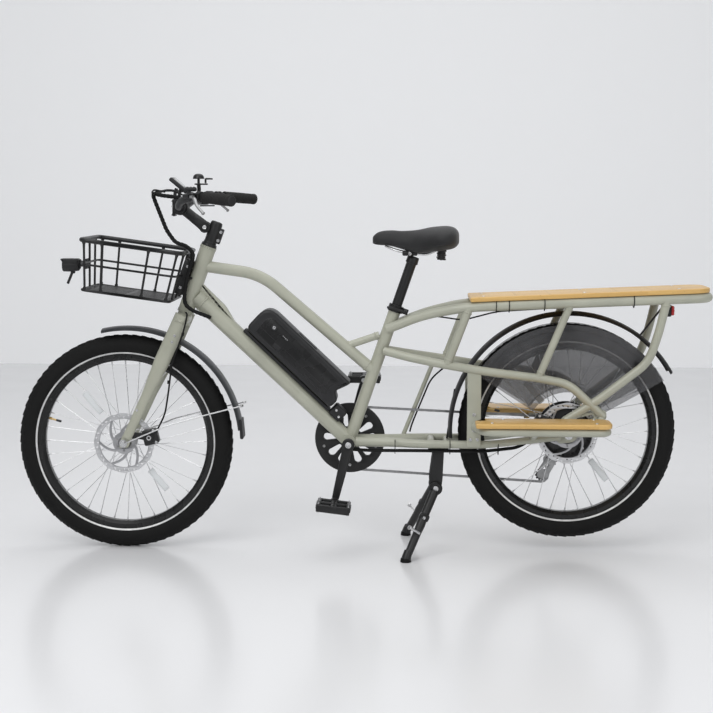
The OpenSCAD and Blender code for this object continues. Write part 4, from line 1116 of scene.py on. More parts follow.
def build_chain():
    bm = bmesh.new()
    pins = even_points(chain_line(), 12.7)
    for k, (a, b) in enumerate(zip(pins, pins[1:] + pins[:1])):
        way = (b - a).normalized()
        turn = Matrix((way, Vector((0, 1, 0)), way.cross(Vector((0, 1, 0))))).transposed().to_4x4()
        off = 2.9 if k % 2 else 1.9
        for s in (-1, 1):
            pose = Matrix.Translation((a + b) / 2 + Vector((0, s * off, 0))) @ turn
            made = bmesh.ops.create_cube(bm, size=1, matrix=pose
                @ Matrix.Diagonal(((b - a).length + 6.4, 0.9, 6.6, 1)))["verts"]
            ends = [e for e in {e for v in made for e in v.link_edges}
                if abs((e.verts[0].co - e.verts[1].co).normalized().y) > 0.9]
            bmesh.ops.bevel(bm, geom=ends, offset=2.2, segments=1, profile=0.5, affect="EDGES", material=-1)
        bmesh.ops.create_cone(bm, cap_ends=True, segments=8, radius1=2.6, radius2=2.6, depth=4.6,
            matrix=Matrix.Translation(a) @ UPRIGHT)
        bmesh.ops.create_cone(bm, cap_ends=True, segments=8, radius1=1.5, radius2=1.5, depth=7.0,
            matrix=Matrix.Translation(a) @ UPRIGHT)
    piece("drive_chain", bm, "chain", "frame", ("chain",), merge=0)


def build_cranks():
    way = Vector((cos(radians(76.7)), 0, sin(radians(76.7))))
    bm = bmesh.new()
    ends = ((BOTTOM - 175 * way, -79, -1), (BOTTOM + 175 * way, 79, 1))
    for end, y, s in ends:
        a, b = Vector((BOTTOM.x, y, BOTTOM.z)), Vector((end.x, y, end.z))
        drum(bm, BOTTOM, 18.5, y - 8, y + 8, 48, 2.5)
        turned(bm, [(7.05, y - 8), (13, y - 8), (14, y - 7), (14, y + 7), (13, y + 8), (7.05, y + 8)],
            Vector((end.x, 0, end.z)), 40, 0)
        sweep(bm, [a.lerp(b, t) for t in (0.06, 0.2, 0.4, 0.6, 0.8, 0.93)], lambda t: 15.5 - 5 * t, 20,
            flat=0.46, up=(0, 1, 0))
        bolt(bm, (BOTTOM.x, y + s * 8, BOTTOM.z), (0, s, 0), 9, 1.6, 1)
    drum(bm, BOTTOM, 8.5, -72, 72, 32, 0.5)
    piece("crank_arms", bm, "black steel", "crank", ("cranks",))

    bm = bmesh.new()
    petals = []
    for k in range(5):
        for lean in (-0.262, 0.262):
            a = pi / 2 + 2 * pi * k / 5 + lean
            turn = Matrix.Rotation(a, 2)
            outline = [Vector((40 + 6 * cos(t), 6 * sin(t))) for t in (pi / 2 + pi * j / 8 for j in range(9))]
            outline += [Vector((68 + 11 * cos(t), 11 * sin(t)))
                for t in (-pi / 2 + pi * j / 12 for j in range(13))]
            petals.append([turn @ q for q in outline])
    for y in (46, 58):
        cut_plate(bm, [ring_path(104.6, 120), ring_path(9.6, 32)] + petals, 2,
            Matrix.Translation((BOTTOM.x, y, BOTTOM.z)) @ UPRIGHT, 0.4)
    cut_plate(bm, [toothed(88, 93.4, 46), ring_path(78, 80)], 2,
        Matrix.Translation((BOTTOM.x, 52, BOTTOM.z)) @ UPRIGHT, 0.2, 1)
    for k in range(5):
        a = pi / 2 + 2 * pi * (k + 0.5) / 5
        spot = Vector((BOTTOM.x + 81.5 * cos(a), 46, BOTTOM.z + 81.5 * sin(a)))
        round_bar(bm, spot, spot + Vector((0, 12, 0)), 4.4, sides=16, index=0)
        bolt(bm, spot + Vector((0, -1, 0)), (0, -1, 0), 4.4, 1.6, 1)
    turned(bm, [(9.6, 45.6), (24, 45.6), (25, 47), (25, 62), (22, 63.6), (9.6, 63.6)],
        Vector((BOTTOM.x, 0, BOTTOM.z)), 48, 0)
    piece("chainring_and_guard", bm, "black chain", "crank", ("chainring",))

    for end, s, tilt, name in ((BOTTOM - 175 * way, -1, 6.9, "pedal_left"),
            (BOTTOM + 175 * way, 1, 0, "pedal_right")):
        bm = bmesh.new()
        for x in (-43, 43):
            block(bm, (11, 94, 23), Matrix.Translation((x, 140, 0)), 3)
        for y in (96, 140, 184):
            block(bm, (92, 9, 22), Matrix.Translation((0, y, 0)), 3)
        round_bar(bm, (0, 88, 0), (0, 189, 0), 11, 10, 32, 2)
        round_bar(bm, (0, 71.5, 0), (0, 92, 0), 6.95, sides=24, index=1)
        for x in (-43, 43):
            for y in (98, 112, 140, 168, 182):
                for z in (-1, 1):
                    round_bar(bm, (x, y, z * 11), (x, y, z * 14.8), 1.7, 1.4, 10, index=1)
        for x in (-1, 1):
            block(bm, (3, 60, 12), Matrix.Translation((x * 49, 140, 0)), 1.2, 2)
        spot = Matrix.Translation(end) @ Matrix.Rotation(radians(tilt), 4,
            "Y") @ Matrix.Diagonal((1, s, 1, 1))
        bmesh.ops.transform(bm, matrix=spot, verts=bm.verts)
        piece(name + "_platform", bm, "black steel plastic", name, (name,))


def build_gears():
    bm = bmesh.new()
    for k in range(6):
        r, y = 25 + (5 - k) * 6, 64 - (5 - k) * 5
        teeth = round((r + 3) / 2.02)
        cut_plate(bm, [toothed(r - 1.5, r + 2.6, teeth), ring_path(19, 40)], 2,
            Matrix.Translation((REAR.x, y, REAR.z)) @ UPRIGHT, 0.2)
    turned(bm, [(12.1, 37), (19, 37), (19, 65), (18, 65.5), (12.1, 65.5)], Vector((REAR.x, 0, REAR.z)), 48, 0)
    piece("sprockets", bm, "chain", "freewheel", ("freewheel",))
    for c, name in ((GUIDE, "guide_pulley"), (TENSION, "tension_pulley")):
        bm = bmesh.new()
        cut_plate(bm, [toothed(15.2, 18.6, 11), ring_path(3.2, 20)], 3.4,
            Matrix.Translation((c.x, 64, c.z)) @ UPRIGHT, 0.3)
        turned(bm, [(3.1, 60), (8, 60), (8, 68), (3.1, 68)], Vector((c.x, 0, c.z)), 32, 1)
        piece(name + "_wheel", bm, "plastic dull", name, (name,))
    bm = bmesh.new()
    for y in (57.5, 70.5):
        outline = outline_path([(1251, 262, 8), (1259, 272, 8), (1277, 273, 8), (1284, 256, 9),
            (1254, 203, 9), (1238, 200, 8), (1224, 210, 8), (1228, 226, 8)])
        hole = outline_path([(1250, 244, 4), (1262, 246, 3), (1248, 226, 4), (1243, 232, 3)], 4)
        cut_plate(bm, [outline, hole], 1.8, Matrix.Translation((0, y, 0)) @ UPRIGHT, 0.3, 0)
    for c in (GUIDE, TENSION):
        round_bar(bm, (c.x, 57, c.z), (c.x, 72, c.z), 3, sides=14)
        bolt(bm, (c.x, 71.4, c.z), (0, 1, 0), 4.4, 1.6, 1)
    drum(bm, Vector((1268, 0, 258)), 12, 71.5, 82, 32, 1.4, 2)
    slab(bm, outline_path([(1256, 262, 8), (1280, 250, 8), (1304, 296, 9), (1298, 314, 8), (1280, 310, 8)]),
        9, Matrix.Translation((0, 77.4, 0)) @ UPRIGHT, 2, 2)
    drum(bm, Vector((1292, 0, 304)), 11, 70, 84, 32, 1.6, 2)
    slab(bm, outline_path([(1282, 296, 6), (1300, 298, 6), (1309, 336, 8), (1292, 340, 6)]), 6,
        Matrix.Translation((0, 73, 0)) @ UPRIGHT, 1, 0)
    bolt(bm, (1292, 84, 304), (0, 1, 0), 5, 2, 1)
    piece("derailleur_cage", bm, "dull steel black", "frame", ("derailleur",))


# ---- wheels ------------------------------------------------------------------------------------------------


def build_wheel(centre, body, prefix, flange_r, flange_y, lean, hub):
    c = centre
    bm = bmesh.new()
    wall = []
    for k in range(33):
        a = radians(-127 + 254 * k / 32)
        wall.append((286.5 + 30.6 * cos(a), 31.4 * sin(a)))
    wall = [(262.4, -17.6), (263, -21.8), (267.6, -24.8)] + [w for w in wall
        if w[0] > 270] + [(267.6, 24.8), (263, 21.8), (262.4, 17.6), (266, 12), (285, 24), (303, 18),
        (312, 0), (303, -18), (285, -24), (266, -12)]
    turned(bm, wall, c, 144, lambda r, y: 1 if 263 < r < 267 and abs(y) > 21.8 else 0)

    def blocks():
        for y, turn, size in ((-5.6, 0.5, (15, 7.5)), (5.6, -0.5, (15, 7.5))):
            block(bm, (size[0], size[1], 3), Matrix.Translation(c + Vector((0, y, 316.2)))
                @ Matrix.Rotation(turn, 4, "Z"), 0.7, 0, 1)
        for s in (-1, 1):
            tilt = radians(27)
            spot = c + Vector((9, s * 30.4 * sin(tilt), 286.5 + 30 * cos(tilt)))
            block(bm, (17, 7, 3.4), Matrix.Translation(spot) @ Matrix.Rotation(-s * tilt, 4, "X")
                @ Matrix.Rotation(s * 0.35, 4, "Z"), 0.7, 0, 1)
            tilt = radians(55)
            spot = c + Vector((-3, s * 30.4 * sin(tilt), 286.5 + 29.6 * cos(tilt)))
            block(bm, (13, 9, 3.2), Matrix.Translation(spot) @ Matrix.Rotation(-s * tilt, 4, "X"), 0.7, 0, 1)
    round_copies(bm, c, 72, blocks)
    piece(prefix + "_tyre_and_tread", bm, "tyre band", body, (prefix + "_tyre",), merge=0)

    bm = bmesh.new()
    a = radians(164)
    out = Vector((cos(a), 0, sin(a)))
    round_bar(bm, c + out * 203.5, c + out * 246, 2.6, sides=16, index=0)
    round_bar(bm, c + out * 232, c + out * 239.5, 4.4, sides=6, soft=0.5, index=0)
    round_bar(bm, c + out * 203, c + out * 219, 3.4, sides=18, soft=0.8, index=1)
    piece(prefix + "_valve", bm, "brass plastic", body)

    bm = bmesh.new()
    for k in range(36):
        s = 1 if k % 2 == 0 else -1
        turn = lean if (k // 2) % 2 == 0 else -lean
        a = 2 * pi * k / 36
        root = c + Vector((flange_r * cos(a - turn), s * (flange_y + (1.2 if turn > 0 else -1.2)),
            flange_r * sin(a - turn)))
        tip = c + Vector((242 * cos(a), s * 3, 242 * sin(a)))
        way = (tip - root).normalized()
        round_bar(bm, root, tip - way * 9, 1.05, sides=8)
        round_bar(bm, tip - way * 12, tip, 2.0, 2.3, 10, index=1)
    piece(prefix + "_spokes", bm, "steel steel", body)

    bm = bmesh.new()
    hub(bm)
    node = {"front": "front_hub", "rear": "hub_motor"}[prefix]
    piece(prefix + "_hub_shell", bm, "dull black steel" if prefix == "front" else "black gloss steel", body,
        (node,))

    bm = bmesh.new()
    for angle, at in ((-50, 150), (130, 150)):
        a = radians(angle)
        way = Vector((cos(a), 0, sin(a)))
        turn = Matrix((way, Vector((0, 1, 0)), way.cross(Vector((0, 1, 0))))).transposed().to_4x4()
        block(bm, (78, 4.6, 19), Matrix.Translation(c + way * at + Vector((0, -13, 0))) @ turn, 2, 0)
        block(bm, (72, 1.2, 14), Matrix.Translation(c + way * at + Vector((0, -15.3, 0))) @ turn, 0.5, 1)
        block(bm, (66, 3, 12), Matrix.Translation(c + way * at + Vector((0, -10, 0))) @ turn, 1, 1)
    piece(prefix + "_spoke_reflectors", bm, "clear clear", body)
    dress(prefix + "_rim", "gloss")


def front_hub_shape(bm):
    c = Vector((FRONT.x, 0, FRONT.z))
    turned(bm, [(5.2, -44), (15, -44), (16, -43), (17, -40.8), (17, -39.6), (22, -39), (22, -34),
        (17, -31.5), (27, -30.2), (29, -29.6), (29, -26.4),
        (27, -25.8), (18, -23), (14.5, -16), (14, 0), (14.5, 16), (18, 23), (27, 25.8), (29, 26.4),
        (29, 29.6), (27, 30.2), (18, 32), (16, 42), (15, 44), (5.2, 44)], c, 72, 0)


def rear_hub_shape(bm):
    c = Vector((REAR.x, 0, REAR.z))
    turned(bm, [(7.1, -48), (28, -48), (30, -46.5), (30, -37), (34, -35), (72, -34.6), (75.5, -33),
        (76, -30.6), (82, -30), (84, -29), (84, -23),
        (80, -22), (79, -20), (79, 20), (80, 22), (84, 23), (84, 29), (82, 30), (76, 30.6), (75.5, 33),
        (72, 34.6), (32, 35), (26, 36), (11.5, 36.4), (11.5, 67), (7.1, 67)], c, 96,
        lambda r, y: 1 if abs(y) > 34 and r < 74 else 0)
    for s in (-1, 1):
        for k in range(6):
            a = 2 * pi * (k + 0.25) / 6
            bolt(bm, (c.x + 66 * cos(a), s * 34.4, c.z + 66 * sin(a)), (0, s, 0), 3.6, 2 if s > 0 else 1.6, 2)


def build_wheels():
    build_wheel(FRONT, "front_wheel", "front", 25, 28, radians(48), front_hub_shape)
    build_wheel(REAR, "rear_wheel", "rear", 83, 26, radians(16), rear_hub_shape)
    bm = bmesh.new()
    drum(bm, FRONT, 5, -62, 62, 24, 0.4)
    for s in (-1, 1):
        drum(bm, FRONT, 10, s * 57 if s > 0 else -67, 67 if s > 0 else -57, 6, 1.4)
        drum(bm, FRONT, 12, 57 if s > 0 else -59, 59 if s > 0 else -57, 32, 0.5)
    piece("front_axle_nuts", bm, "steel", "steering", ("front_axle",))
    dress("rear_axle", "steel")
    build_discs()


# ---- fork, stem and handlebar ------------------------------------------------------------------------------

GRIP_WAY = (Vector((352, -300, 1033)) - Vector((258, -205, 1042))).normalized()
GRIP_END = Vector((352, -300, 1033))
GRIP_START = GRIP_END - 118 * GRIP_WAY
PERCH_SPOT = GRIP_START - 22 * GRIP_WAY
PERCH = Matrix.Translation(PERCH_SPOT) @ Matrix.Rotation(atan2(GRIP_WAY.y, GRIP_WAY.x), 4, "Z")


def build_fork():
    bm = bmesh.new()
    leg = [(180, -61, 699), (95, -62, 512), (12, -61, 336)]
    both_sides(bm, lambda: sweep(bm, softened(leg, 60, 12),
        lambda t: 24 * (1 - 0.42 * t) * (0.9 + 0.1 * min(1, t * 12)), 28, flat=0.52))
    arch = [STEER @ Vector(p) for p in ((0, -68, -18), (0, -58, -9), (0, -30, -5), (0, 0, -4), (0, 30, -5),
        (0, 58, -9), (0, 68, -18))]
    sweep(bm, arch, lambda t: 13 + 7 * sin(pi * t), 24, up=(1, 0, 0), flat=1.15)
    sweep(bm, [STEER @ Vector((0, 0, z)) for z in (-20, 12)], lambda t: 24.5 - t * 4, 36)
    sweep(bm, [STEER @ Vector((0, 0, z)) for z in (0, 288)], 14.2, 24)

    def ends():
        cut_plate(bm, [outline_path([(-14, 306, 8), (14, 306, 8), (30, 346, 9), (16, 362, 9), (-2, 344, 8)]),
            [q + Vector((0, 318.5)) for q in ring_path(5.3, 24)]], 6,
            Matrix.Translation((0, -54, 0)) @ UPRIGHT, 0.8)
    both_sides(bm, ends)
    piece("fork_legs", bm, "sage", "steering", ("fork",))
    bm = bmesh.new()
    for s in (-1, 1):
        for x, z in ((158, 640), (150, 622), (44, 420)):
            bolt(bm, (x, s * 72.6 if z > 500 else s * 68, z), (0, s, 0), 3.8, 2.4)
    piece("fork_bosses", bm, "steel", "steering")


def build_stem():
    pin = STEER @ Vector((-28, 0, 270))
    bm = bmesh.new()
    for z0, z1, r0, r1 in ((222, 229, 23.4, 22), (229, 236, 19.5, 18.4)):
        round_bar(bm, STEER @ Vector((0, 0, z0)), STEER @ Vector((0, 0, z1)), r0, r1, 40, 1)
    sweep(bm, [STEER @ Vector((0, 0, z)) for z in (236, 260, 290, 295.6)],
        lambda t: 18 - 2 * max(0, t * 3 - 2), 36)
    block(bm, (22, 17, 46), STEER @ Matrix.Translation((17, 0, 259)), 3)
    for z in (246, 272):
        bolt(bm, STEER @ Vector((21, 8, z)), (0, 1, 0), 4.6, 5, 1)
        round_bar(bm, STEER @ Vector((21, -8.4, z)), STEER @ Vector((21, -10, z)), 4.6, sides=18, index=1)
    drum(bm, pin, 14.8, -11, 11, 48, 1.4)
    block(bm, (30, 20, 18), STEER @ Matrix.Translation((-15, 0, 270)), 3)
    round_bar(bm, STEER @ Vector((0, 0, 295)), STEER @ Vector((0, 0, 297)), 14, 12, 32, 0.6)
    bolt(bm, STEER @ Vector((0, 0, 296.6)), STEER.to_3x3() @ Vector((0, 0, 1)), 5, 1.2, 1)
    centre = Vector((170, 0, 1010))
    for s in (-1, 1):
        drum(bm, pin, 16.4, s * 15 - 3, s * 15 + 3, 48, 1.2)
        cheek = [pin + Vector((2, s * 14.8, -2)), pin + Vector((-12, s * 14.8, 10)),
            pin + Vector((-28, s * 12, 23)),
            pin + Vector((-38, s * 7, 31))]
        sweep(bm, cheek, lambda t: 15 - 1.5 * t, 24, flat=0.24)
    start, end = pin + Vector((-24, 0, 19)), centre + Vector((14, 0, -11))
    sweep(bm, [start.lerp(end, t) for t in (0, 0.2, 0.5, 0.8, 1)], lambda t: 15.5 - 2 * t + 1.5 * t * t, 28)
    turned(bm, [(16, -18), (21, -18), (22, -17), (22, 17), (21, 18), (16, 18)], centre, 48, 0)
    block(bm, (9, 35, 50), Matrix.Translation((centre.x - 19, 0, centre.z)), 3)
    for y in (-11, 11):
        for z in (-20, 20):
            bolt(bm, (centre.x - 23.6, y, centre.z + z), (-1, 0, 0), 3.6, 3, 1)
    for s in (-1, 1):
        drum(bm, pin, 9, 17.6 * s if s > 0 else -21.6, 21.6 if s > 0 else -17.6, 32, 1.2, 0)
        bolt(bm, (pin.x, s * 21.4, pin.z), (0, s, 0), 6, 1.6, 1)
    piece("adjustable_stem", bm, "black steel", "steering", ("stem", "stem_arm"))

    bm = bmesh.new()
    half = [(172, -70, 1012), (192, -128, 1034), (258, -205, 1042), tuple(GRIP_END)]
    line = softened([Vector(p) for p in half[::-1]] + mirrored(half), 28, 8)
    sweep(bm, line, 11.1, 24, up=(0, 0, 1))
    turned(bm, [(0.001, -36), (12, -36), (15.8, -31), (15.8, 31), (12, 36), (0.001, 36)],
        Vector((170, 0, 1010)), 40, 0, closed=False)
    piece("bent_handlebar", bm, "black", "steering", ("handlebar",))

    bm = bmesh.new()
    last = GRIP_END + 4 * GRIP_WAY

    def grip():
        path = [GRIP_START.lerp(last, t / 60) for t in range(61)]

        def ribs(t):
            if t < 0.05 or t > 0.93:
                return 16.4 if 0.015 < t < 0.985 else 15.2
            return 14.9 + 1.0 * (1 if (t * 60) % 3 < 1.5 else 0) + 0.5 * sin(pi * t)
        sweep(bm, path, ribs, 28)
        round_bar(bm, last - GRIP_WAY * 1.5, last + GRIP_WAY * 2, 14.6, 12.2, 28, 1.2, 1)
    both_sides(bm, grip)
    piece("ribbed_grips", bm, "grip plastic", "steering", ("grips",))


def build_controls():
    bm = bmesh.new()

    def perch():
        for x in (-6, 6):
            round_bar(bm, PERCH @ Vector((x - 3, 0, 0)), PERCH @ Vector((x + 3, 0, 0)), 15, sides=32, soft=1)
        for z in (-8, 8):
            block(bm, (21, 28, 5.6), PERCH @ Matrix.Translation((0, -24, z)), 2)
        block(bm, (21, 9, 20), PERCH @ Matrix.Translation((0, -12.8, 0)), 2.5)
        round_bar(bm, PERCH @ Vector((-9, -28, 2)), PERCH @ Vector((-38, -26.5, 2)), 7, 6.4, 24, 1.2)
        round_bar(bm, PERCH @ Vector((-38, -26.5, 2)), PERCH @ Vector((-46, -26, 2)), 4.4, 3.4, 16, 0.6, 1)
        round_bar(bm, PERCH @ Vector((0, -27, -11.6)), PERCH @ Vector((0, -27, 11.6)), 2.5, sides=16, index=1)
        for z in (-11, 10.8):
            round_bar(bm, PERCH @ Vector((0, -27, z)), PERCH @ Vector((0, -27, z + 0.6)), 4.4, sides=18,
                index=1)
    both_sides(bm, perch)
    right = FLIP @ PERCH
    round_bar(bm, right @ Vector((-44, 0, 0)), right @ Vector((-22, 0, 0)), 16, sides=32, soft=2)
    block(bm, (28, 26, 16), right @ Matrix.Translation((-48, -12, -18)), 4)
    block(bm, (16, 3, 8), right @ Matrix.Translation((-48, -25, -18)), 1, 2)
    round_bar(bm, PERCH @ Vector((-50, 0, 0)), PERCH @ Vector((-38, 0, 0)), 14, sides=32, soft=1.4)
    block(bm, (32, 23, 12), Matrix.Translation(PERCH_SPOT - 44 * GRIP_WAY + Vector((0, 6, 18))), 4)
    for k in range(3):
        block(bm, (6, 6, 2.4), Matrix.Translation(PERCH_SPOT - 44 * GRIP_WAY + Vector((-9 + 9 * k, 6, 24))),
            1.2, 3)
    piece("brake_perches_and_pads", bm, "plastic steel screen grip", "steering", ("bar_controls",))

    for name, turn in (("brake_lever_left", PERCH), ("brake_lever_right", FLIP @ PERCH)):
        bm = bmesh.new()
        path = [Vector((4, -28, 0)), Vector((22, -35, -6)), Vector((44, -44, -25)), Vector((72, -44, -44))]
        sweep(bm, softened(path, 12, 6), lambda t: 4.4 + 1.4 * sin(pi * min(1, t * 1.3)), 18, up=(0, 0, 1),
            flat=0.8)
        round_bar(bm, (71.4, -44, -43.6), (74.4, -44, -45.6), 5.6, 4.8, 20, 1)
        turned_z = [(2.6, -4), (7.4, -4), (8, -3.4), (8, 3.4), (7.4, 4), (2.6, 4)]
        verts = [bm.verts.new((r, -27, z)) for r, z in turned_z]
        edges = [bm.edges.new((a, b)) for a, b in zip(verts, verts[1:] + verts[:1])]
        bmesh.ops.spin(bm, geom=verts + edges, cent=(0, -27, 0), axis=(0, 0, 1), angle=2 * pi, steps=32,
            use_merge=True)
        bmesh.ops.transform(bm, matrix=turn, verts=bm.verts)
        piece(name + "_blade", bm, "dull", name, (name,))

    bm = bmesh.new()
    block(bm, (64, 82, 11), Matrix.Translation((168, 0, 1074)) @ Matrix.Rotation(radians(40), 4, "Y"), 3.4)
    block(bm, (52, 68, 1.6), Matrix.Translation((168, 0, 1074)) @ Matrix.Rotation(radians(40), 4, "Y")
        @ Matrix.Translation((0, 0, 5.6)), 0.6, 1)
    for y in (-42, 42):
        turned(bm, [(11.6, y - 4), (17, y - 4), (18, y - 3), (18, y + 3), (17, y + 4), (11.6, y + 4)],
            Vector((171, 0, 1011)), 40, 0)
        sweep(bm, softened([vec(165, y, 1024), vec(158, y, 1045), vec(164, y, 1066)], 8, 4), 5, 14, flat=0.75)
        bolt(bm, (152, y, 1014), (-1, 0, 0), 3.2, 3, 2)
    piece("handlebar_display", bm, "plastic screen steel", "steering", ("display",))

    bm = bmesh.new()
    c = Vector((206, 118, 1094))
    dome = [(0.001, 15.8), (6, 15.4), (11, 13.6), (15, 9.6), (17, 4), (17, 0), (15.8, 0), (0.001, 1)]
    verts = [bm.verts.new(c + Vector((r, 0, z))) for r, z in dome]
    edges = [bm.edges.new((a, b)) for a, b in zip(verts, verts[1:])]
    bmesh.ops.spin(bm, geom=verts + edges, cent=c, axis=(0, 0, 1), angle=2 * pi, steps=48, use_merge=True)
    round_bar(bm, c + Vector((0, 0, -14)), c + Vector((0, 0, 1)), 4, sides=20)
    block(bm, (39, 17, 4.6), Matrix.Translation(c + Vector((8, 0, -15.5))), 1.6)
    foot = Vector((192, 128, 1034)) + Vector((12, 10, 8))
    sweep(bm, softened([foot - Vector((4, 4, 8)), foot + Vector((2, -8, 18)), c + Vector((0, 0, -15))], 10,
        5), 6, 16)
    round_bar(bm, Vector((192, 128, 1034)) + 8 * Vector((-GRIP_WAY.x, -GRIP_WAY.y, 0))
        + Vector((10, 12, 1)), Vector((192, 128, 1034)) + Vector((18, 18, 1)), 15, sides=28, soft=1)
    piece("bell_dome", bm, "gloss", "steering", ("bell",))
    bm = bmesh.new()
    post = c + Vector((21, 0, 0))
    round_bar(bm, post + Vector((0, 0, -12.6)), post + Vector((0, 0, 2)), 3, sides=20, soft=0.6)
    sweep(bm, [post + Vector((0, 0, 0.4)), post + Vector((12, 0, 0.6)), post + Vector((21.4, 0, 0.2))],
        lambda t: 3 - 0.8 * t, 16, flat=0.8)
    piece("bell_thumb_lever", bm, "black", "bell_lever", ("bell_lever",))
    dress("shifter_lever", "plastic")


# ---- cables ------------------------------------------------------------------------------------------------


def build_cables():
    bundle = [(178, -92, 1040), (120, -62, 1046), (92, -36, 1052), (100, -30, 1026), (132, -31, 944),
        (158, -32, 908),
        (190, -34, 900), (212, -34, 876), (192, -34, 816), (182, -35, 756), (184, -38, 728), (206, -43, 712),
        (236, -41, 700), (256, -24, 690)]
    loom = hose("handlebar_loom", bundle, 14, 5.8, "hose", None, ("steering_cables",),
        wrap=0.5)
    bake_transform(loom)
    for name, points, r in (("left_brake_hose", [(150, -170, 1056), (112, -120, 1062), (96, -60, 1056),
            (93, -40, 1051)], 2.6),
            ("right_brake_hose", [(150, 170, 1056), (112, 120, 1062), (96, 60, 1056), (93, -30, 1051)], 2.6),
            ("left_control_wire", [(206, -160, 1045), (168, -150, 1060), (112, -92, 1058), (98, -44, 1047)],
            2.3),
            ("right_control_wire", [(206, 160, 1045), (160, 150, 1058), (106, 90, 1058), (98, -26, 1047)],
            2.3)):
        hose(name, points, 20, r, "hose", "steering", up=(0, 0, 1))

    bm = bmesh.new()
    light = [(870, -20, 703), (995, -72, 690), (1090, -80, 716), (1300, -80, 730), (1560, -76, 742),
        (1584, -22, 724)]
    stay = [(948, 76, 538), (905, 77, 500), (850, 62, 368), (843, 59, 342)]
    brake = [(676, -30, 300), (730, -44, 300), (840, -58, 303), (1060, -66, 304), (1160, -66, 316),
        (1200, -58, 342)]
    for line, r in ((light, 2.2), (stay, 2.6), (brake, 2.8)):
        sweep(bm, softened(line, 24, 8), r, 12)
    sweep(bm, softened([(x, y + 5, z + 4) for x, y, z in brake], 24, 8), 2.2, 10)
    for x, z in ((1088, 729), (1125, 731), (1226, 736), (1480, 746)):
        for s in (-1, 1):
            ring = [Vector((x, s * 89 + 16 * cos(a), z + 1.5 + 17.6 * sin(a)))
                for a in (2 * pi * k / 24 for k in range(25))]
            sweep(bm, ring, 1.3, 6, up=(1, 0, 0))
    for x in (800, 960, 1100):
        ring = [Vector((x, -61 - (x - 800) * 0.02 + 15 * cos(a), 317 + 20 * sin(a)))
            for a in (2 * pi * k / 24 for k in range(25))]
        sweep(bm, ring, 1.3, 6, up=(1, 0, 0))
    piece("frame_wires", bm, "hose", "frame", ("frame_cables",), merge=0)


# ---- centre stand ------------------------------------------------------------------------------------------


def build_stand():
    bm = bmesh.new()
    block(bm, (60, 102, 9), Matrix.Translation((927, 0, 308)), 2)

    def cheek():
        outline = outline_path([(912, 304, 8), (944, 304, 8), (940, 212, 12), (934, 170, 12),
            (906, 170, 12), (900, 212, 12)], 7)
        cut_plate(bm, [outline, [q + Vector((920, 190)) for q in ring_path(8.1, 32)]], 8,
            Matrix.Translation((0, -34, 0)) @ UPRIGHT, 1)
    both_sides(bm, cheek)
    for x in (910, 944):
        bolt(bm, (x, 0, 304), (0, 0, -1), 6, 5, 1)
    piece("stand_plate", bm, "black steel", "frame", ("stand_bracket",))
    bm = bmesh.new()
    drum(bm, STAND, 7.9, -48, 48, 32, 0.5, 1)

    def leg():
        drum(bm, STAND, 19.8, -50, -38.6, 48, 3)
        bolt(bm, STAND + Vector((0, -49.5, 0)), (0, -1, 0), 8, 1.6, 1)
        root, foot = Vector((916, -50, 181)), Vector((836, -166, 12))
        sweep(bm, [root.lerp(foot, k / 8) for k in range(9)],
            lambda t: 13.2 - 2 * t + 1.4 * (1 if 0.4 < t < 0.62 else 0), 24, flat=0.92)
        sweep(bm, [vec(841, -160, 30), vec(836, -166, 16), vec(834, -168, 6)], lambda t: 12.4 + 2 * t, 24,
            up=(0, 1, 0))
        round_bar(bm, (833, -168, 0.2), (833, -168, 12), 16.2, 14, 32, 1.4, 2)
        round_bar(bm, (872, -135, 76), (846, -153, 96), 4, sides=16, soft=0.6, index=1)
        round_bar(bm, (846, -153, 96), (842, -156, 99), 7, sides=6, soft=0.6, index=1)
        root = Vector((886, -99, 116))
        block(bm, (30, 18, 20), Matrix.Translation(root) @ Matrix.Rotation(radians(24), 4, "Y"), 5)
        bolt(bm, root + Vector((0, -9, 0)), (0, -1, 0), 4.4, 3, 1)
    both_sides(bm, leg)
    piece("stand_legs_cast", bm, "black steel tyre", "stand", ("stand_legs",))


# ---- stage -------------------------------------------------------------------------------------------------


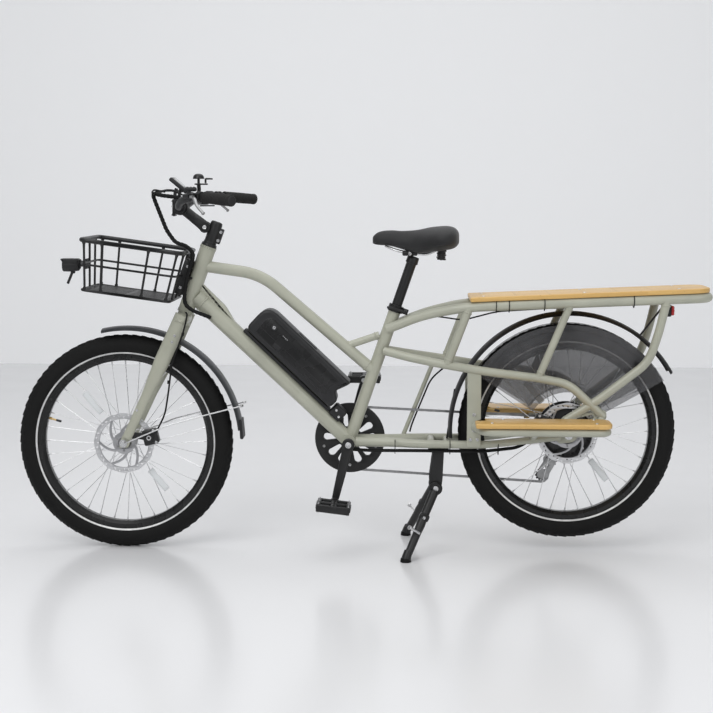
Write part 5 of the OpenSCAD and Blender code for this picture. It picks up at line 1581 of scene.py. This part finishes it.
def build_stage():
    scene = bpy.context.scene
    look = Finish("pale_floor", base_color=(0.82, 0.82, 0.83), specular_ior_level=0.4)
    look.feed(roughness=look.noise(3, 2) * 0.08 + 0.16)
    floor = bmesh.new()
    bmesh.ops.create_grid(floor, x_segments=1, y_segments=1, size=6, matrix=Matrix.Translation((0, 3.4, 0)))
    wall = Finish("pale_backdrop", base_color=(0.86, 0.865, 0.875), roughness=0.9, emission_color=(1, 1, 1),
        emission_strength=0.16)
    back = bmesh.new()
    bmesh.ops.create_grid(back, x_segments=1, y_segments=1, size=9,
        matrix=Matrix.Translation((0, 4.6, 4)) @ Matrix.Rotation(pi / 2, 4, "X"))
    for name, bm, f in (("studio_floor", floor, look), ("studio_backdrop", back, wall)):
        mesh = bpy.data.meshes.new(name)
        bm.to_mesh(mesh)
        bm.free()
        mesh.materials.append(f.material)
        obj = bpy.data.objects.new(name, mesh)
        scene.collection.objects.link(obj)
    for name, place, aim, size, power in (("key", (-1.6, -3.2, 3.6), (0, 0, 0.5), 3.2, 92),
            ("fill", (2.8, -3.4, 2.2), (0, 0, 0.5), 3.0, 40), ("top", (0, 0.4, 4.4), (0, 0, 0), 4.0, 68)):
        lamp = bpy.data.lights.new(name, "AREA")
        lamp.size, lamp.energy = size, power
        obj = bpy.data.objects.new(name, lamp)
        obj.location = place
        obj.rotation_euler = (Vector(aim) - Vector(place)).to_track_quat("-Z", "Y").to_euler()
        scene.collection.objects.link(obj)
    sky = bpy.data.worlds.new("studio")
    sky.use_nodes = True
    sky.node_tree.nodes["Background"].inputs[0].default_value = (0.95, 0.97, 1.0, 1)
    sky.node_tree.nodes["Background"].inputs[1].default_value = 0.38
    scene.world = sky
    scene.view_settings.view_transform = "Standard"
    lens_data = bpy.data.cameras.new("camera")
    lens_data.sensor_fit, lens_data.sensor_width = "HORIZONTAL", 36
    lens_data.lens = scene.bicycle_sizes.focal
    camera = bpy.data.objects.new("camera", lens_data)
    camera.location = TO_ROW @ Vector((829.0, -4371.1, 1067.8))
    camera.rotation_mode = "XYZ"
    camera.matrix_world = Matrix.Translation(TO_ROW @ Vector((829.0, -4371.1,
        1067.8))) @ Matrix.Rotation(radians(1.891), 4, "Z") \
        @ Matrix.Rotation(radians(90 - 6.435), 4, "X") @ Matrix.Rotation(radians(0.125), 4, "Z")
    scene.collection.objects.link(camera)
    scene.camera = camera


# ---- settings, operators and panel -------------------------------------------------------------------------


class BicycleSizes(bpy.types.PropertyGroup):
    focal: FloatProperty(name="Focal length",
        description="Focal length of the camera, in millimetres on a 36 mm sensor",
        default=75.4, min=20, max=200)


class BicycleFinish(bpy.types.PropertyGroup):
    paint: FloatVectorProperty(name="Frame paint", description="Colour of the frame and fork",
        subtype="COLOR",
        default=(0.42, 0.425, 0.345), min=0, max=1)
    bamboo_light: FloatVectorProperty(name="Light bamboo", description="Colour of the palest bamboo strips",
        subtype="COLOR", default=(0.80, 0.52, 0.18), min=0, max=1)
    bamboo_dark: FloatVectorProperty(name="Dark bamboo", description="Colour of the darkest bamboo strips",
        subtype="COLOR", default=(0.62, 0.36, 0.10), min=0, max=1)
    smoke: FloatProperty(name="Guard opacity", description="How much the smoked guards hide the wheel",
        subtype="FACTOR", default=0.42, min=0, max=1)


def operator(name, label, doc, *builders):
    def execute(self, context):
        for build in builders:
            build()
        return {"FINISHED"}
    return type("BICYCLE_OT_" + name, (bpy.types.Operator,),
        {"bl_idname": "bicycle." + name, "bl_label": label,
        "__doc__": doc, "bl_options": {"REGISTER", "UNDO"}, "execute": execute})


OPERATORS = [
    operator("stage", "Stage", "Floor, backdrop, lights and camera", build_stage),
    operator("frame_tubes", "Frame", "Painted tubes of the frame", build_main_tubes, build_rear_frame),
    operator("boards", "Bamboo boards", "Deck board and footboards", build_boards),
    operator("guards", "Mudguards", "Mudguards, skirt guards and lights", build_mudguards, build_lights),
    operator("battery", "Battery", "Battery pack and its mount", build_battery),
    operator("saddle", "Saddle", "Saddle, post and clamp", build_saddle),
    operator("basket", "Basket", "Wire basket", build_basket),
    operator("brakes", "Brakes", "Calipers", build_brakes),
    operator("drive", "Drive", "Cranks, chain and sprockets", build_chain, build_cranks, build_gears),
    operator("wheels", "Wheels", "Tyres, spokes, hubs and discs", build_wheels),
    operator("steering", "Steering", "Fork, stem, handlebar and controls", build_fork, build_stem,
    build_controls),
    operator("cables", "Cables", "Cable bundle and wires", build_cables),
    operator("stand", "Centre stand", "Two-leg centre stand", build_stand),
]


class BICYCLE_PT_panel(bpy.types.Panel):
    """Buttons that build each part of the bicycle"""
    bl_label = "Longtail bicycle"
    bl_space_type = "VIEW_3D"
    bl_region_type = "UI"
    bl_category = "Bicycle"

    def draw(self, context):
        for group in (context.scene.bicycle_sizes, context.scene.bicycle_finish):
            for key in group.__annotations__:
                self.layout.prop(group, key)
        for op in OPERATORS:
            self.layout.operator(op.bl_idname)


CLASSES = [BicycleSizes, BicycleFinish] + OPERATORS + [BICYCLE_PT_panel]


def register():
    for cls in CLASSES:
        bpy.utils.register_class(cls)
    bpy.types.Scene.bicycle_sizes = PointerProperty(type=BicycleSizes)
    bpy.types.Scene.bicycle_finish = PointerProperty(type=BicycleFinish)


def unregister():
    del bpy.types.Scene.bicycle_finish
    del bpy.types.Scene.bicycle_sizes
    for cls in reversed(CLASSES):
        bpy.utils.unregister_class(cls)


def main():
    register()
    for op in OPERATORS:
        getattr(bpy.ops.bicycle, op.bl_idname.split(".")[1])()


if __name__ == "__main__":
    main()
